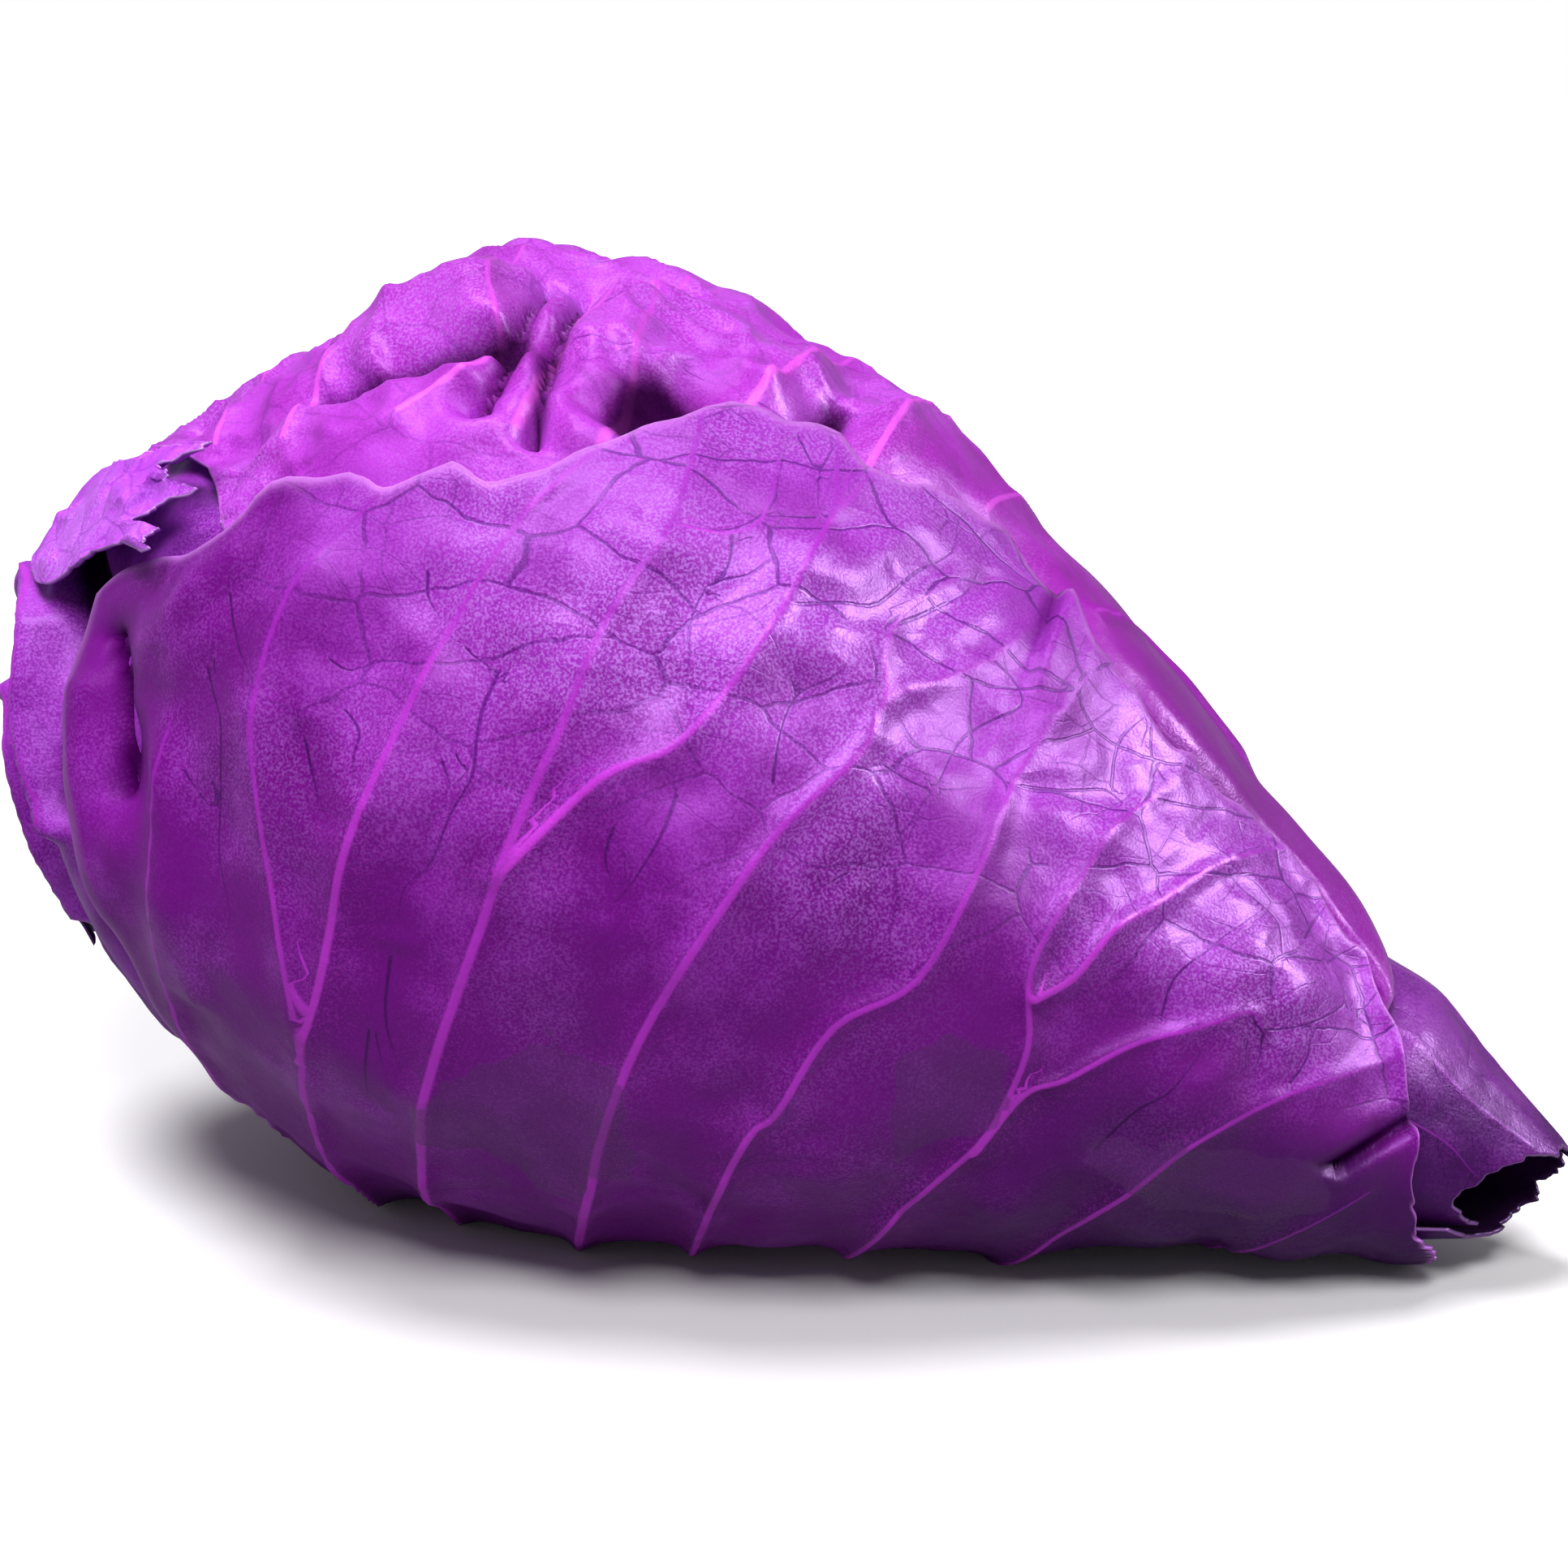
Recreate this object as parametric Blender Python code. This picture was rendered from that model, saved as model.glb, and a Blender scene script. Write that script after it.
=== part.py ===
"""A head of purple pointed cabbage lying on its side, built leaf by leaf.

The head is described on its own coordinates: `along` runs from 0 at the cut stem to 1 at the
pointed tip, and `around` is an angle in degrees about the head's bent core line, 0 on the side
that faces -Y, 90 on top, 180 on the side that faces +Y and -90 underneath. Each leaf is a thin
closed shell between two such surfaces, with its own margins, ribs, creases and folds.
Lengths here are millimetres; the points are turned to metres when a mesh is made.
"""

import bpy
import numpy as np

MM = 0.001

# The head's core line and girth: along, centre x, y, z, and the radius of the whole head.
HEAD_STATIONS = (
    (0.00, -90.0, 52.0, 73.5, 0.0),
    (0.05, -92.5, 50.0, 73.0, 17.0),
    (0.12, -92.0, 45.0, 72.0, 32.0),
    (0.20, -79.5, 33.0, 69.5, 46.5),
    (0.30, -57.0, 20.0, 69.0, 64.5),
    (0.40, -34.0, 9.0, 68.5, 71.0),
    (0.50, -3.0, -2.0, 62.0, 66.0),
    (0.60, 23.0, -11.0, 50.3, 53.0),
    (0.70, 50.0, -18.0, 37.6, 39.5),
    (0.80, 77.0, -25.0, 26.0, 25.5),
    (0.90, 96.0, -30.0, 17.5, 15.0),
    (0.96, 107.0, -33.0, 13.5, 9.0),
    (1.00, 115.0, -35.0, 11.0, 4.0),
)
# Moves the head so that the middle of its footprint stands at the frame's origin.
CENTRED = np.array([3.55, -5.55, 0.0])
# How far the core line turns away from +X (yaw) and dips below it (pitch), in degrees.
YAW_STATIONS = ((0.0, 58.0), (0.12, 50.0), (0.30, 29.0), (0.42, 17.0), (1.0, 16.0))
PITCH_STATIONS = ((0.0, 0.0), (0.3, -2.0), (0.45, -10.0), (0.6, -18.0), (1.0, -28.0))
HEAD_LENGTH = 245.0
MIDDLE_RADIUS = 65.0
MM_PER_RADIAN = 57.3

BLADE = 0.9
FRONT_BLADE = 1.1
TIP_BLADE = 0.8
LAYER_GAP = 1.3
HEART_GAP = 3.2
HIDDEN_FLOOR = 2.6
HEART_FLOOR = 5.2

# The head stands on three grid points (row, column) of the front leaf. From the flat triangle
# between them the underside rises by this much a millimetre.
REST_POINTS = ((16, 10), (16, 13), (28, 11))
REST_BOW = 0.03

FRONT_RIB_AROUND = -108.0
BACK_RIB_AROUND = 164.0
LEFT_RIB_AROUND = -22.0

# Where side ribs leave the front leaf's midrib, as shares of the leaf's length, with the other
# rows of its grid and how far to each side of a rib a row runs.
SIDE_RIBS = (0.13, 0.22, 0.31, 0.40, 0.50, 0.60, 0.70, 0.80)
ROWS_BETWEEN = (0.0, 0.045, 0.09, 0.175, 0.265, 0.355, 0.45, 0.55, 0.65, 0.75, 0.86, 0.91, 0.96, 1.0)
ROW_BESIDE_RIB = 0.016

# Creases (below zero) and ridges (above zero) of each leaf: height, half width in mm, route.
TOP_FOLDS = (
    (-5.5, 4.0, ((0.333, 54), (0.378, 58), (0.396, 60))),
    (2.2, 4.0, ((0.367, 76), (0.393, 66), (0.400, 61))),
    (-4.0, 3.5, ((0.393, 80), (0.404, 60), (0.402, 53))),
    (-5.0, 3.5, ((0.408, 80), (0.414, 62), (0.421, 50))),
    (1.6, 4.0, ((0.424, 86), (0.417, 67), (0.417, 53))),
    (2.4, 3.5, ((0.427, 86), (0.438, 69), (0.443, 52))),
    (-7.5, 6.5, ((0.452, 55), (0.454, 63))),
    (2.0, 5.0, ((0.490, 92), (0.478, 64))),
    (-5.0, 3.5, ((0.494, 60), (0.501, 78))),
    (1.4, 4.5, ((0.526, 92), (0.521, 66))),
    (-2.5, 5.0, ((0.380, 96), (0.400, 120), (0.420, 138))),
    (-2.0, 5.0, ((0.480, 104), (0.500, 138))),
    (1.6, 6.0, ((0.350, 92), (0.360, 128))),
    (1.4, 6.0, ((0.440, 100), (0.455, 140))),
)
FRONT_FOLDS = (
    (1.6, 4.0, ((0.338, 31), (0.300, 20), (0.300, 14), (0.322, 6), (0.330, -20))),
    (-2.2, 4.0, ((0.274, 20), (0.284, 14))),
    (-2.0, 3.5, ((0.840, 22), (0.812, -4))),
)
LEFT_FOLDS = (
    (3.0, 4.0, ((0.10, 20), (0.155, 32), (0.20, 22), (0.215, 5), (0.235, -8))),
    (-4.0, 4.5, ((0.165, 46), (0.19, 44), (0.235, 26), (0.245, 12))),
    (2.0, 4.0, ((0.12, -2), (0.17, 8), (0.185, -10), (0.21, -30))),
    (1.4, 4.5, ((0.08, -40), (0.18, -34), (0.26, -50))),
)


def clear_scene() -> None:
    """Removes every object of the startup scene."""
    for obj in list(bpy.data.objects):
        bpy.data.objects.remove(obj, do_unlink=True)


def smooth_through(stations, at):
    """A smooth curve through rows of (place, value, ...), read at the places `at`."""
    table = np.asarray(stations, float)
    knots, values = table[:, 0], table[:, 1:]
    slopes = np.gradient(values, knots, axis=0)
    at = np.clip(at, knots[0], knots[-1])
    i = np.clip(np.searchsorted(knots, at, "right") - 1, 0, len(knots) - 2)
    span = (knots[i + 1] - knots[i])[..., None]
    t = (at - knots[i])[..., None] / span
    found = (2 * t**3 - 3 * t**2 + 1) * values[i] + (t**3 - 2 * t**2 + t) * span * slopes[i]
    found += (3 * t**2 - 2 * t**3) * values[i + 1] + (t**3 - t**2) * span * slopes[i + 1]
    return found[..., 0] if values.shape[1] == 1 else found


def ease(low, high, at):
    """0 at low, 1 at high, and a smooth step between. High may lie below low."""
    t = np.clip((at - low) / (high - low), 0.0, 1.0)
    return t * t * (3 - 2 * t)


def hump(distance, half_width):
    """A rounded rise: 1 in the middle and a third of it at the half width."""
    return np.exp(-((distance / half_width) ** 2))


def soft_min(a, b, blend=0.8):
    """The lower of two surfaces, with the corner between them rounded."""
    return -blend * np.logaddexp(-a / blend, -b / blend)


def wave(at, amount, length):
    """The in and out of a leaf's edge: two waves that don't repeat together."""
    turn = 2 * np.pi * at / length
    return amount * (0.65 * np.sin(turn) + 0.35 * np.sin(1.7 * turn + 1.1))


def head_radius(along):
    """The whole head's radius."""
    return smooth_through([(row[0], row[4]) for row in HEAD_STATIONS], along)


def head_axes(along):
    """The core line's direction, and the directions of 90 and 0 degrees around it."""
    yaw = np.radians(smooth_through(YAW_STATIONS, along))
    pitch = np.radians(smooth_through(PITCH_STATIONS, along))
    ahead = np.stack(
        [np.cos(yaw) * np.cos(pitch), -np.sin(yaw) * np.cos(pitch), np.sin(pitch)], axis=-1
    )
    up = np.array([0.0, 0.0, 1.0]) - ahead * ahead[..., 2:3]
    up /= np.linalg.norm(up, axis=-1, keepdims=True)
    return ahead, up, np.cross(ahead, up)


def on_head(along, around, radius):
    """Points at a distance from the core line, at a place on the head."""
    _, up, front = head_axes(along)
    centre = smooth_through([row[:4] for row in HEAD_STATIONS], along)
    angle = np.radians(around)[..., None]
    return centre + CENTRED + radius[..., None] * (np.cos(angle) * front + np.sin(angle) * up)


def above(points, floor):
    """The same points, none lower than the floor's height at its place."""
    return np.concatenate(
        [points[..., :2], np.maximum(points[..., 2], floor)[..., None]], axis=-1
    )


def outside_of(points, corners):
    """How far points lie outside a triangle on the floor, 0 inside it."""
    middle = corners.mean(axis=0)
    away = np.zeros(points.shape[:-1])
    for start, end in zip(corners, np.roll(corners, -1, axis=0)):
        out = np.array([end[1] - start[1], start[0] - end[0]]) / np.hypot(*(end - start))
        out *= -np.sign((middle - start) @ out)
        away = np.maximum(away, (points[..., :2] - start) @ out)
    return away


def from_route(along, around, route):
    """The distance in mm of each place from a route of (along, around) points."""
    x = along * HEAD_LENGTH
    y = np.radians(around) * MIDDLE_RADIUS
    nearest = np.full(np.shape(x), np.inf)
    for start, end in zip(route[:-1], route[1:]):
        x0, y0 = start[0] * HEAD_LENGTH, np.radians(start[1]) * MIDDLE_RADIUS
        dx, dy = end[0] * HEAD_LENGTH - x0, np.radians(end[1]) * MIDDLE_RADIUS - y0
        t = np.clip(((x - x0) * dx + (y - y0) * dy) / (dx * dx + dy * dy), 0.0, 1.0)
        nearest = np.minimum(nearest, np.hypot(x - x0 - t * dx, y - y0 - t * dy))
    return nearest


def folds(along, around, table):
    """The summed height of rounded creases and ridges along their routes."""
    height = np.zeros(np.shape(along))
    for amount, half_width, route in table:
        height += amount * hump(from_route(along, around, route), half_width)
    return height


def midrib(along, around, middle, half_width):
    """A leaf's rounded midrib along one angle, 1 at its crest."""
    return hump((around - middle) * head_radius(along) / MM_PER_RADIAN, half_width)


def material(name, colour, roughness):
    """A plain leaf or stem material of the given linear colour."""
    made = bpy.data.materials.new(name)
    made.use_nodes = True
    shader = made.node_tree.nodes["Principled BSDF"]
    shader.inputs["Base Color"].default_value = (*colour, 1.0)
    shader.inputs["Roughness"].default_value = roughness
    made.diffuse_color = (*colour, 1.0)
    return made


def add_object(name, points, faces, finish):
    """One closed object, its faces turned outwards, from points in mm and triangles."""
    corners = points[faces]
    if np.einsum("ij,ij->i", corners[:, 0], np.cross(corners[:, 1], corners[:, 2])).sum() < 0:
        faces = faces[:, ::-1]
    mesh = bpy.data.meshes.new(name)
    mesh.from_pydata((points * MM).tolist(), [], faces.tolist())
    mesh.shade_smooth()
    mesh.set_sharp_from_angle(angle=np.radians(50))
    mesh.materials.append(finish)
    obj = bpy.data.objects.new(name, mesh)
    bpy.context.scene.collection.objects.link(obj)


def grid_triangles(number, wrap=False):
    """Two triangles for each cell of a grid of point numbers, its last column joined to the
    first if it wraps."""
    beside = np.roll(number, -1, axis=1) if wrap else number[:, 1:]
    here = number if wrap else number[:, :-1]
    a, b, c, d = here[:-1].ravel(), beside[:-1].ravel(), here[1:].ravel(), beside[1:].ravel()
    return np.concatenate([np.stack([a, c, b], 1), np.stack([b, c, d], 1)])


def add_turned(name, rings, ends, finish):
    """A closed body from rings of points, one after the other, and the point that ends each side."""
    count, sides = rings.shape[:2]
    number = np.arange(count * sides).reshape(count, sides)
    faces = [grid_triangles(number, wrap=True)]
    for end, ring in ((count * sides, number[0]), (count * sides + 1, number[-1][::-1])):
        faces.append(np.stack([np.full(sides, end), ring, np.roll(ring, -1)], 1))
    add_object(name, np.concatenate([rings.reshape(-1, 3), ends]), np.concatenate(faces), finish)


def add_shell(name, outer, inner, finish):
    """A closed blade between two grids of points, both split alike, with a rim round them."""
    rows, columns = outer.shape[:2]
    count = rows * columns
    number = np.arange(count).reshape(rows, columns)
    upper = grid_triangles(number)
    ring = np.concatenate([number[0], number[1:, -1], number[-1, -2::-1], number[-2:0:-1, 0]])
    after = np.roll(ring, -1)
    rim = np.concatenate(
        [
            np.stack([ring, after, ring + count], 1),
            np.stack([after, after + count, ring + count], 1),
        ]
    )
    points = np.concatenate([outer.reshape(-1, 3), inner.reshape(-1, 3)])
    add_object(name, points, np.concatenate([upper, upper[:, ::-1] + count, rim]), finish)


def add_leaf(name, grid, outline, outer, finish, thickness=BLADE, floor=0.0, rests=False):
    """A leaf whose outline gives its places on the head for shares of its length and width.

    The grid holds those shares. A leaf that the head rests on is flat between its rest points.
    """
    u, v = np.meshgrid(*grid, indexing="ij")
    along, around = outline(u, v)
    radius = outer(u, v, along, around)
    outside = on_head(along, around, radius)
    inside = on_head(along, around, radius - thickness)
    low, low_inside = floor, floor
    if rests:
        corners = np.array([outside[point][:2] for point in REST_POINTS])
        low = REST_BOW * outside_of(outside, corners)
        low_inside = REST_BOW * outside_of(inside, corners)
    add_shell(name, above(outside, low), above(inside, low_inside + thickness), finish)


def front_margin(along):
    """The front leaf's free upper margin, as the angle it reaches round the head."""
    reach = smooth_through(
        (
            (0.05, -45),
            (0.12, -38),
            (0.18, -15),
            (0.25, 28),
            (0.29, 32),
            (0.325, 33),
            (0.35, 40),
            (0.39, 41),
            (0.43, 45),
            (0.455, 55),
            (0.48, 62),
            (0.54, 67),
            (0.58, 76),
            (0.60, 75),
            (0.63, 67),
            (0.68, 68),
            (0.75, 77),
            (0.80, 57),
            (0.84, 28),
            (0.885, -8),
        ),
        along,
    )
    return reach + wave(along * HEAD_LENGTH, 1.1, 19.0) * ease(0.33, 0.36, along)


def front_outline(u, v):
    """The front leaf, from its hidden margin at the back (v 0) to its free margin (v 1)."""
    start = smooth_through(
        (
            (0.0, 0.30),
            (0.18, 0.24),
            (0.30, 0.10),
            (0.38, 0.052),
            (0.46, 0.10),
            (0.56, 0.27),
            (0.70, 0.298),
            (0.84, 0.272),
            (0.93, 0.252),
            (1.0, 0.25),
        ),
        v,
    )
    end = smooth_through(
        (
            (0.0, 0.78),
            (0.2, 0.85),
            (0.38, 0.90),
            (0.55, 0.91),
            (0.70, 0.912),
            (0.85, 0.896),
            (1.0, 0.852),
        ),
        v,
    )
    lean = 0.16 * np.abs(v - 0.38) * u * (1 - u)
    along = start + (end - start) * u + lean
    back = smooth_through(((0.05, -150), (0.3, -196), (0.5, -204), (0.7, -200), (0.93, -170)), along)
    back = back + wave(along * HEAD_LENGTH, 1.3, 23.0)
    return along, back + (front_margin(along) - back) * v


def front_outer(u, v, along, around):
    """The front leaf's outer face: ribs on the head's own girth, and the lobe at its left."""
    height = 3.0 * midrib(along, around, FRONT_RIB_AROUND, 6.0) * (1 - 0.7 * u)
    beside_midrib = ease(-104.0, -92.0, around) + ease(-112.0, -124.0, around)
    for place in SIDE_RIBS:
        height += hump((u - place) * 150.0, 2.2) * beside_midrib
    lobe = 2.2 * ease(0.325, 0.30, along) * ease(-12.0, 12.0, around)
    curl = 2.2 * hump((along - 0.345) * HEAD_LENGTH, 3.5) * ease(32.0, 40.0, around)
    across = (along - 0.605) * HEAD_LENGTH
    dart = 1.5 * np.tanh(across / 0.9) * np.exp(-np.abs(across) / 11.0) * ease(48.0, 68.0, around)
    height += folds(along, around, FRONT_FOLDS) + curl + dart - lobe
    return head_radius(along) + 0.3 + height + 1.6 * ease(0.84, 0.90, along)


def top_outline(u, v):
    """The top leaf, from under the front leaf's margin (v 0) over the top to the back (v 1)."""
    start = smooth_through(
        ((0.0, 0.315), (0.06, 0.285), (0.12, 0.24), (0.22, 0.215), (0.36, 0.14), (0.5, 0.09), (1.0, 0.09)),
        v,
    )
    end = smooth_through(((0.0, 0.80), (0.3, 0.80), (0.6, 0.775), (1.0, 0.70)), v)
    along = start + (end - start) * u
    low = smooth_through(
        (
            (0.2, 44),
            (0.3, 40),
            (0.35, 30),
            (0.43, 33),
            (0.48, 47),
            (0.54, 52),
            (0.6, 58),
            (0.68, 52),
            (0.83, 36),
        ),
        along,
    )
    high = smooth_through(
        ((0.09, 112), (0.3, 142), (0.5, 150), (0.6, 128), (0.68, 106), (0.76, 112), (0.83, 124)), along
    )
    high = high + wave(along * HEAD_LENGTH, 1.6, 26.0)
    return along, low + (high - low) * v


def top_surface(along, around):
    """The crinkled outer face of the top leaf, which dips below the front leaf's margin."""
    covered = ease(9.0, -1.0, around - front_margin(along))
    sink = 2.9 * covered * ease(0.30, 0.36, along)
    swell = 2.0 * hump(along - 0.40, 0.07) * ease(55.0, 80.0, around)
    saddle = 4.2 * hump(along - 0.29, 0.04) * ease(30.0, 50.0, around) * ease(122.0, 92.0, around)
    creases = folds(along, around, TOP_FOLDS) * (1 - covered)
    return head_radius(along) - 0.7 + swell - saddle - sink + creases


def top_outer(u, v, along, around):
    """The top leaf's outer face, its far margin lifted a little near the tip."""
    return top_surface(along, around) + 1.4 * ease(0.93, 1.0, v) * hump(along - 0.68, 0.05)


def under_top(along, around):
    """How much of a leaf's sinking under the top leaf has happened at a place, 0 to 1."""
    start = smooth_through(((44, 0.315), (50, 0.285), (55, 0.24), (62, 0.215), (71, 0.14), (78, 0.09)), around)
    return ease(start - 0.045, start - 0.012, along) * ease(34.0, 42.0, around)


def left_outline(u, v):
    """The leaf round the left of the wide end, which passes under the front leaf."""
    start = smooth_through(((0.0, 0.11), (0.3, 0.055), (0.5, 0.052), (0.8, 0.06), (1.0, 0.075)), v)
    end = smooth_through(((0.0, 0.37), (0.5, 0.40), (0.8, 0.37), (0.92, 0.33), (1.0, 0.28)), v)
    along = start + (end - start) * u
    low = smooth_through(((0.05, -84), (0.2, -96), (0.4, -96)), along)
    high = smooth_through(((0.05, 58), (0.10, 72), (0.2, 66), (0.27, 56), (0.33, 40), (0.40, 22)), along)
    return along, low + (high - low) * v


def left_outer(u, v, along, around):
    """The left leaf's outer face: steep folds, sunk where the front and top leaves cover it."""
    edge = smooth_through(
        ((-100, 0.12), (-80, 0.20), (-60, 0.28), (-38, 0.300), (-20, 0.295), (0, 0.270), (28, 0.250)),
        around,
    )
    under_front = 5.0 * ease(edge - 0.05, edge - 0.008, along)
    rib = 1.6 * midrib(along, around, LEFT_RIB_AROUND, 5.0) * ease(0.26, 0.1, along)
    shown = (folds(along, around, LEFT_FOLDS) + rib) * ease(0.30, 0.24, along)
    free = head_radius(along) - 0.2 - under_front + shown
    covered = soft_min(free, top_surface(along, around) - BLADE - LAYER_GAP)
    return free + (covered - free) * under_top(along, around)


def back_outline(u, v):
    """The leaf on the far side, whose midrib shows between two other leaves."""
    start = smooth_through(((0.0, 0.12), (0.3, 0.06), (0.5, 0.052), (0.8, 0.06), (1.0, 0.11)), v)
    end = smooth_through(((0.0, 0.72), (0.45, 0.76), (1.0, 0.74)), v)
    along = start + (end - start) * u
    low = smooth_through(((0.07, 86), (0.25, 96), (0.5, 104), (0.65, 92), (0.86, 100)), along)
    high = smooth_through(((0.07, 240), (0.25, 236), (0.5, 222), (0.86, 228)), along)
    return along, low + (high - low) * v


def back_outer(u, v, along, around):
    """The back leaf's outer face, with its midrib and side ribs, under the top leaf."""
    height = 1.6 * midrib(along, around, BACK_RIB_AROUND, 5.0) * (1 - 0.6 * u)
    for place in SIDE_RIBS:
        height += 0.5 * hump((u + 0.12 * np.abs(v - 0.45) - place) * 170.0, 2.6)
    depth = 0.5 + 4.1 * ease(0.04, 0.16, along)
    return soft_min(head_radius(along) - depth + height, top_surface(along, around) - BLADE - LAYER_GAP)


def tip_outline(u, v):
    """The tip leaf, rolled once round with its open mouth turned to the front."""
    around = -60.0 + 384.0 * v
    mouth = smooth_through(
        (
            (-60, 0.930),
            (-20, 0.905),
            (10, 0.908),
            (40, 0.932),
            (90, 0.955),
            (150, 0.962),
            (210, 0.960),
            (260, 0.950),
            (300, 0.930),
            (324, 0.908),
        ),
        around,
    )
    mouth = mouth + wave(np.radians(around) * 10.0, 0.004, 9.0)
    return 0.71 + (mouth - 0.71) * u, around


def tip_outer(u, v, along, around):
    """The tip leaf's outer face: a spiral under the other leaves that widens as it goes round."""
    depth = 3.6 + 4.6 * ease(0.84, 0.77, along) - 2.1 * (around + 60.0) / 360.0
    return head_radius(along) - depth


def torn_outline(u, v):
    """A pale torn scrap of an outer leaf, on the upper left of the wide end."""
    tear = 0.288 + 0.010 * np.sin(15.0 * v) + 0.005 * np.sin(37.0 * v + 1.0)
    along = 0.085 + (tear - 0.085) * u
    low = 33.0 + 3.0 * np.sin(9.0 * u) + 10.0 * (1 - u) ** 2
    high = 51.0 + 16.0 * (1 - u)
    return along, low + (high - low) * v


def torn_outer(u, v, along, around):
    """The torn scrap's crumpled outer face, above the leaves that it lies on."""
    crumple = 0.9 * np.sin(0.55 * (around - 30.0)) + 0.7 * np.sin(70.0 * along + 0.2 * around)
    free = head_radius(along) - 0.3 + 1.7 * ease(0.0, 0.5, u) + crumple * ease(0.1, 0.4, u)
    carried = -soft_min(-left_outer(u, v, along, around), -top_surface(along, around))
    return -soft_min(-free, -carried - BLADE - LAYER_GAP)


def scrap_outline(u, v):
    """A dark remnant of an older leaf, hanging at the lower left of the wide end."""
    along = 0.135 + 0.05 * v + 0.004 * np.sin(7.0 * u + 5.0 * v)
    return along, -22.0 - 26.0 * u + 2.0 * np.sin(8.0 * v)


def scrap_outer(u, v, along, around):
    """The remnant's outer face, close to the left leaf at its root and lifted at its end."""
    return left_outer(u, v, along, around) + BLADE + 0.35 + 4.0 * u**2


def build_leaves(purple, magenta, dark, pale) -> None:
    """Every leaf that the head shows."""
    beside = [place + shift for place in SIDE_RIBS for shift in (-ROW_BESIDE_RIB, 0.0, ROW_BESIDE_RIB)]
    front_rows = np.array(sorted(beside + list(ROWS_BETWEEN)))
    top_rows = np.concatenate([np.linspace(0, 0.60, 32), np.linspace(0.60, 1, 9)[1:]])

    def even(rows, columns):
        return np.linspace(0, 1, rows), np.linspace(0, 1, columns)

    add_leaf(
        "leaf_front",
        (front_rows, np.linspace(0, 1, 27)),
        front_outline,
        front_outer,
        purple,
        FRONT_BLADE,
        rests=True,
    )
    add_leaf("leaf_top", (top_rows, np.linspace(0, 1, 23)), top_outline, top_outer, magenta)
    add_leaf("leaf_left", even(25, 25), left_outline, left_outer, purple, floor=HIDDEN_FLOOR)
    add_leaf("leaf_back", even(25, 15), back_outline, back_outer, purple, floor=HIDDEN_FLOOR)
    add_leaf("leaf_tip", even(15, 37), tip_outline, tip_outer, dark, TIP_BLADE, HIDDEN_FLOOR)
    add_leaf("torn_leaf", even(15, 9), torn_outline, torn_outer, pale)
    add_leaf("leaf_scrap", even(9, 7), scrap_outline, scrap_outer, dark)


def build_heart(finish) -> None:
    """The inner leaves, packed so tight that they are one body under the leaves that show."""
    rows, columns = 27, 36
    share = np.linspace(0, 1, rows)
    along = np.repeat((0.125 + 0.705 * share)[:, None], columns, axis=1)
    around = np.repeat(np.linspace(-180, 180, columns, endpoint=False)[None, :], rows, axis=0)
    depth = 7.6 + 3.6 * ease(0.58, 0.68, along)
    cover = soft_min(head_radius(along) - depth, top_surface(along, around) - BLADE - HEART_GAP)
    cover = soft_min(cover, left_outer(0.0, 0.0, along, around) - BLADE - HEART_GAP)
    closing = np.sqrt(1 - np.clip(1 - share / 0.12, 0, 1) ** 2)
    closing *= np.sqrt(1 - np.clip((share - 0.9) / 0.1, 0, 1) ** 2)
    swirl = 0.35 * np.sin(np.radians(around) * 5 + along * 30)
    points = above(on_head(along, around, (cover + swirl) * closing[:, None]), HEART_FLOOR)
    add_turned("heart", points[1:-1], points[[0, -1], 0], finish)


def build_stem(finish) -> None:
    """The cut stump that the leaves grow from, a little oval, its cut face slightly hollow."""
    sides = 28
    ahead, up, front = (axis[0] for axis in head_axes(np.array([0.0])))
    base = np.array(HEAD_STATIONS[0][1:4]) + CENTRED
    rings = np.array([(-1.0, 10.0), (-4.5, 11.8), (-7.5, 12.4), (-10.0, 12.2), (-11.0, 11.3)])
    angle = np.radians(np.arange(sides) * 360.0 / sides)
    oval = 1 + 0.04 * np.sin(3 * angle + 0.5) + 0.02 * np.sin(7 * angle)
    spokes = np.cos(angle)[:, None] * front + np.sin(angle)[:, None] * up
    axis_points = base + ahead * rings[:, :1]
    points = axis_points[:, None] + (rings[:, 1:] * oval)[..., None] * spokes
    cut_hollow = 0.6
    ends = np.stack([axis_points[0], axis_points[-1] + ahead * cut_hollow])
    add_turned("stem", points, ends, finish)


def main() -> None:
    """Clears the scene and builds the head."""
    clear_scene()
    purple = material("purple_leaf", (0.17, 0.012, 0.24), 0.4)
    magenta = material("magenta_leaf", (0.40, 0.04, 0.55), 0.42)
    dark = material("dark_leaf", (0.05, 0.004, 0.08), 0.4)
    pale = material("torn_leaf", (0.42, 0.18, 0.62), 0.5)
    cut = material("cut_stem", (0.62, 0.52, 0.50), 0.6)
    build_heart(purple)
    build_stem(cut)
    build_leaves(purple, magenta, dark, pale)


main()
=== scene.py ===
"""The looks of a head of purple pointed cabbage, leaf by leaf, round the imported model.

Every leaf is a closed shell worked out with numpy on a grid of shares of its length and width.
A place on the head is given as `along`, from 0 at the cut stem to 1 at the tip, and `around`, an
angle in degrees about the head's bent core line: 0 faces -Y, 90 is on top, 180 faces +Y and -90 is
underneath. Lengths are millimetres until a mesh is made, when they become metres.
"""

import logging
from dataclasses import dataclass
from enum import Enum
from functools import partial

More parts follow.
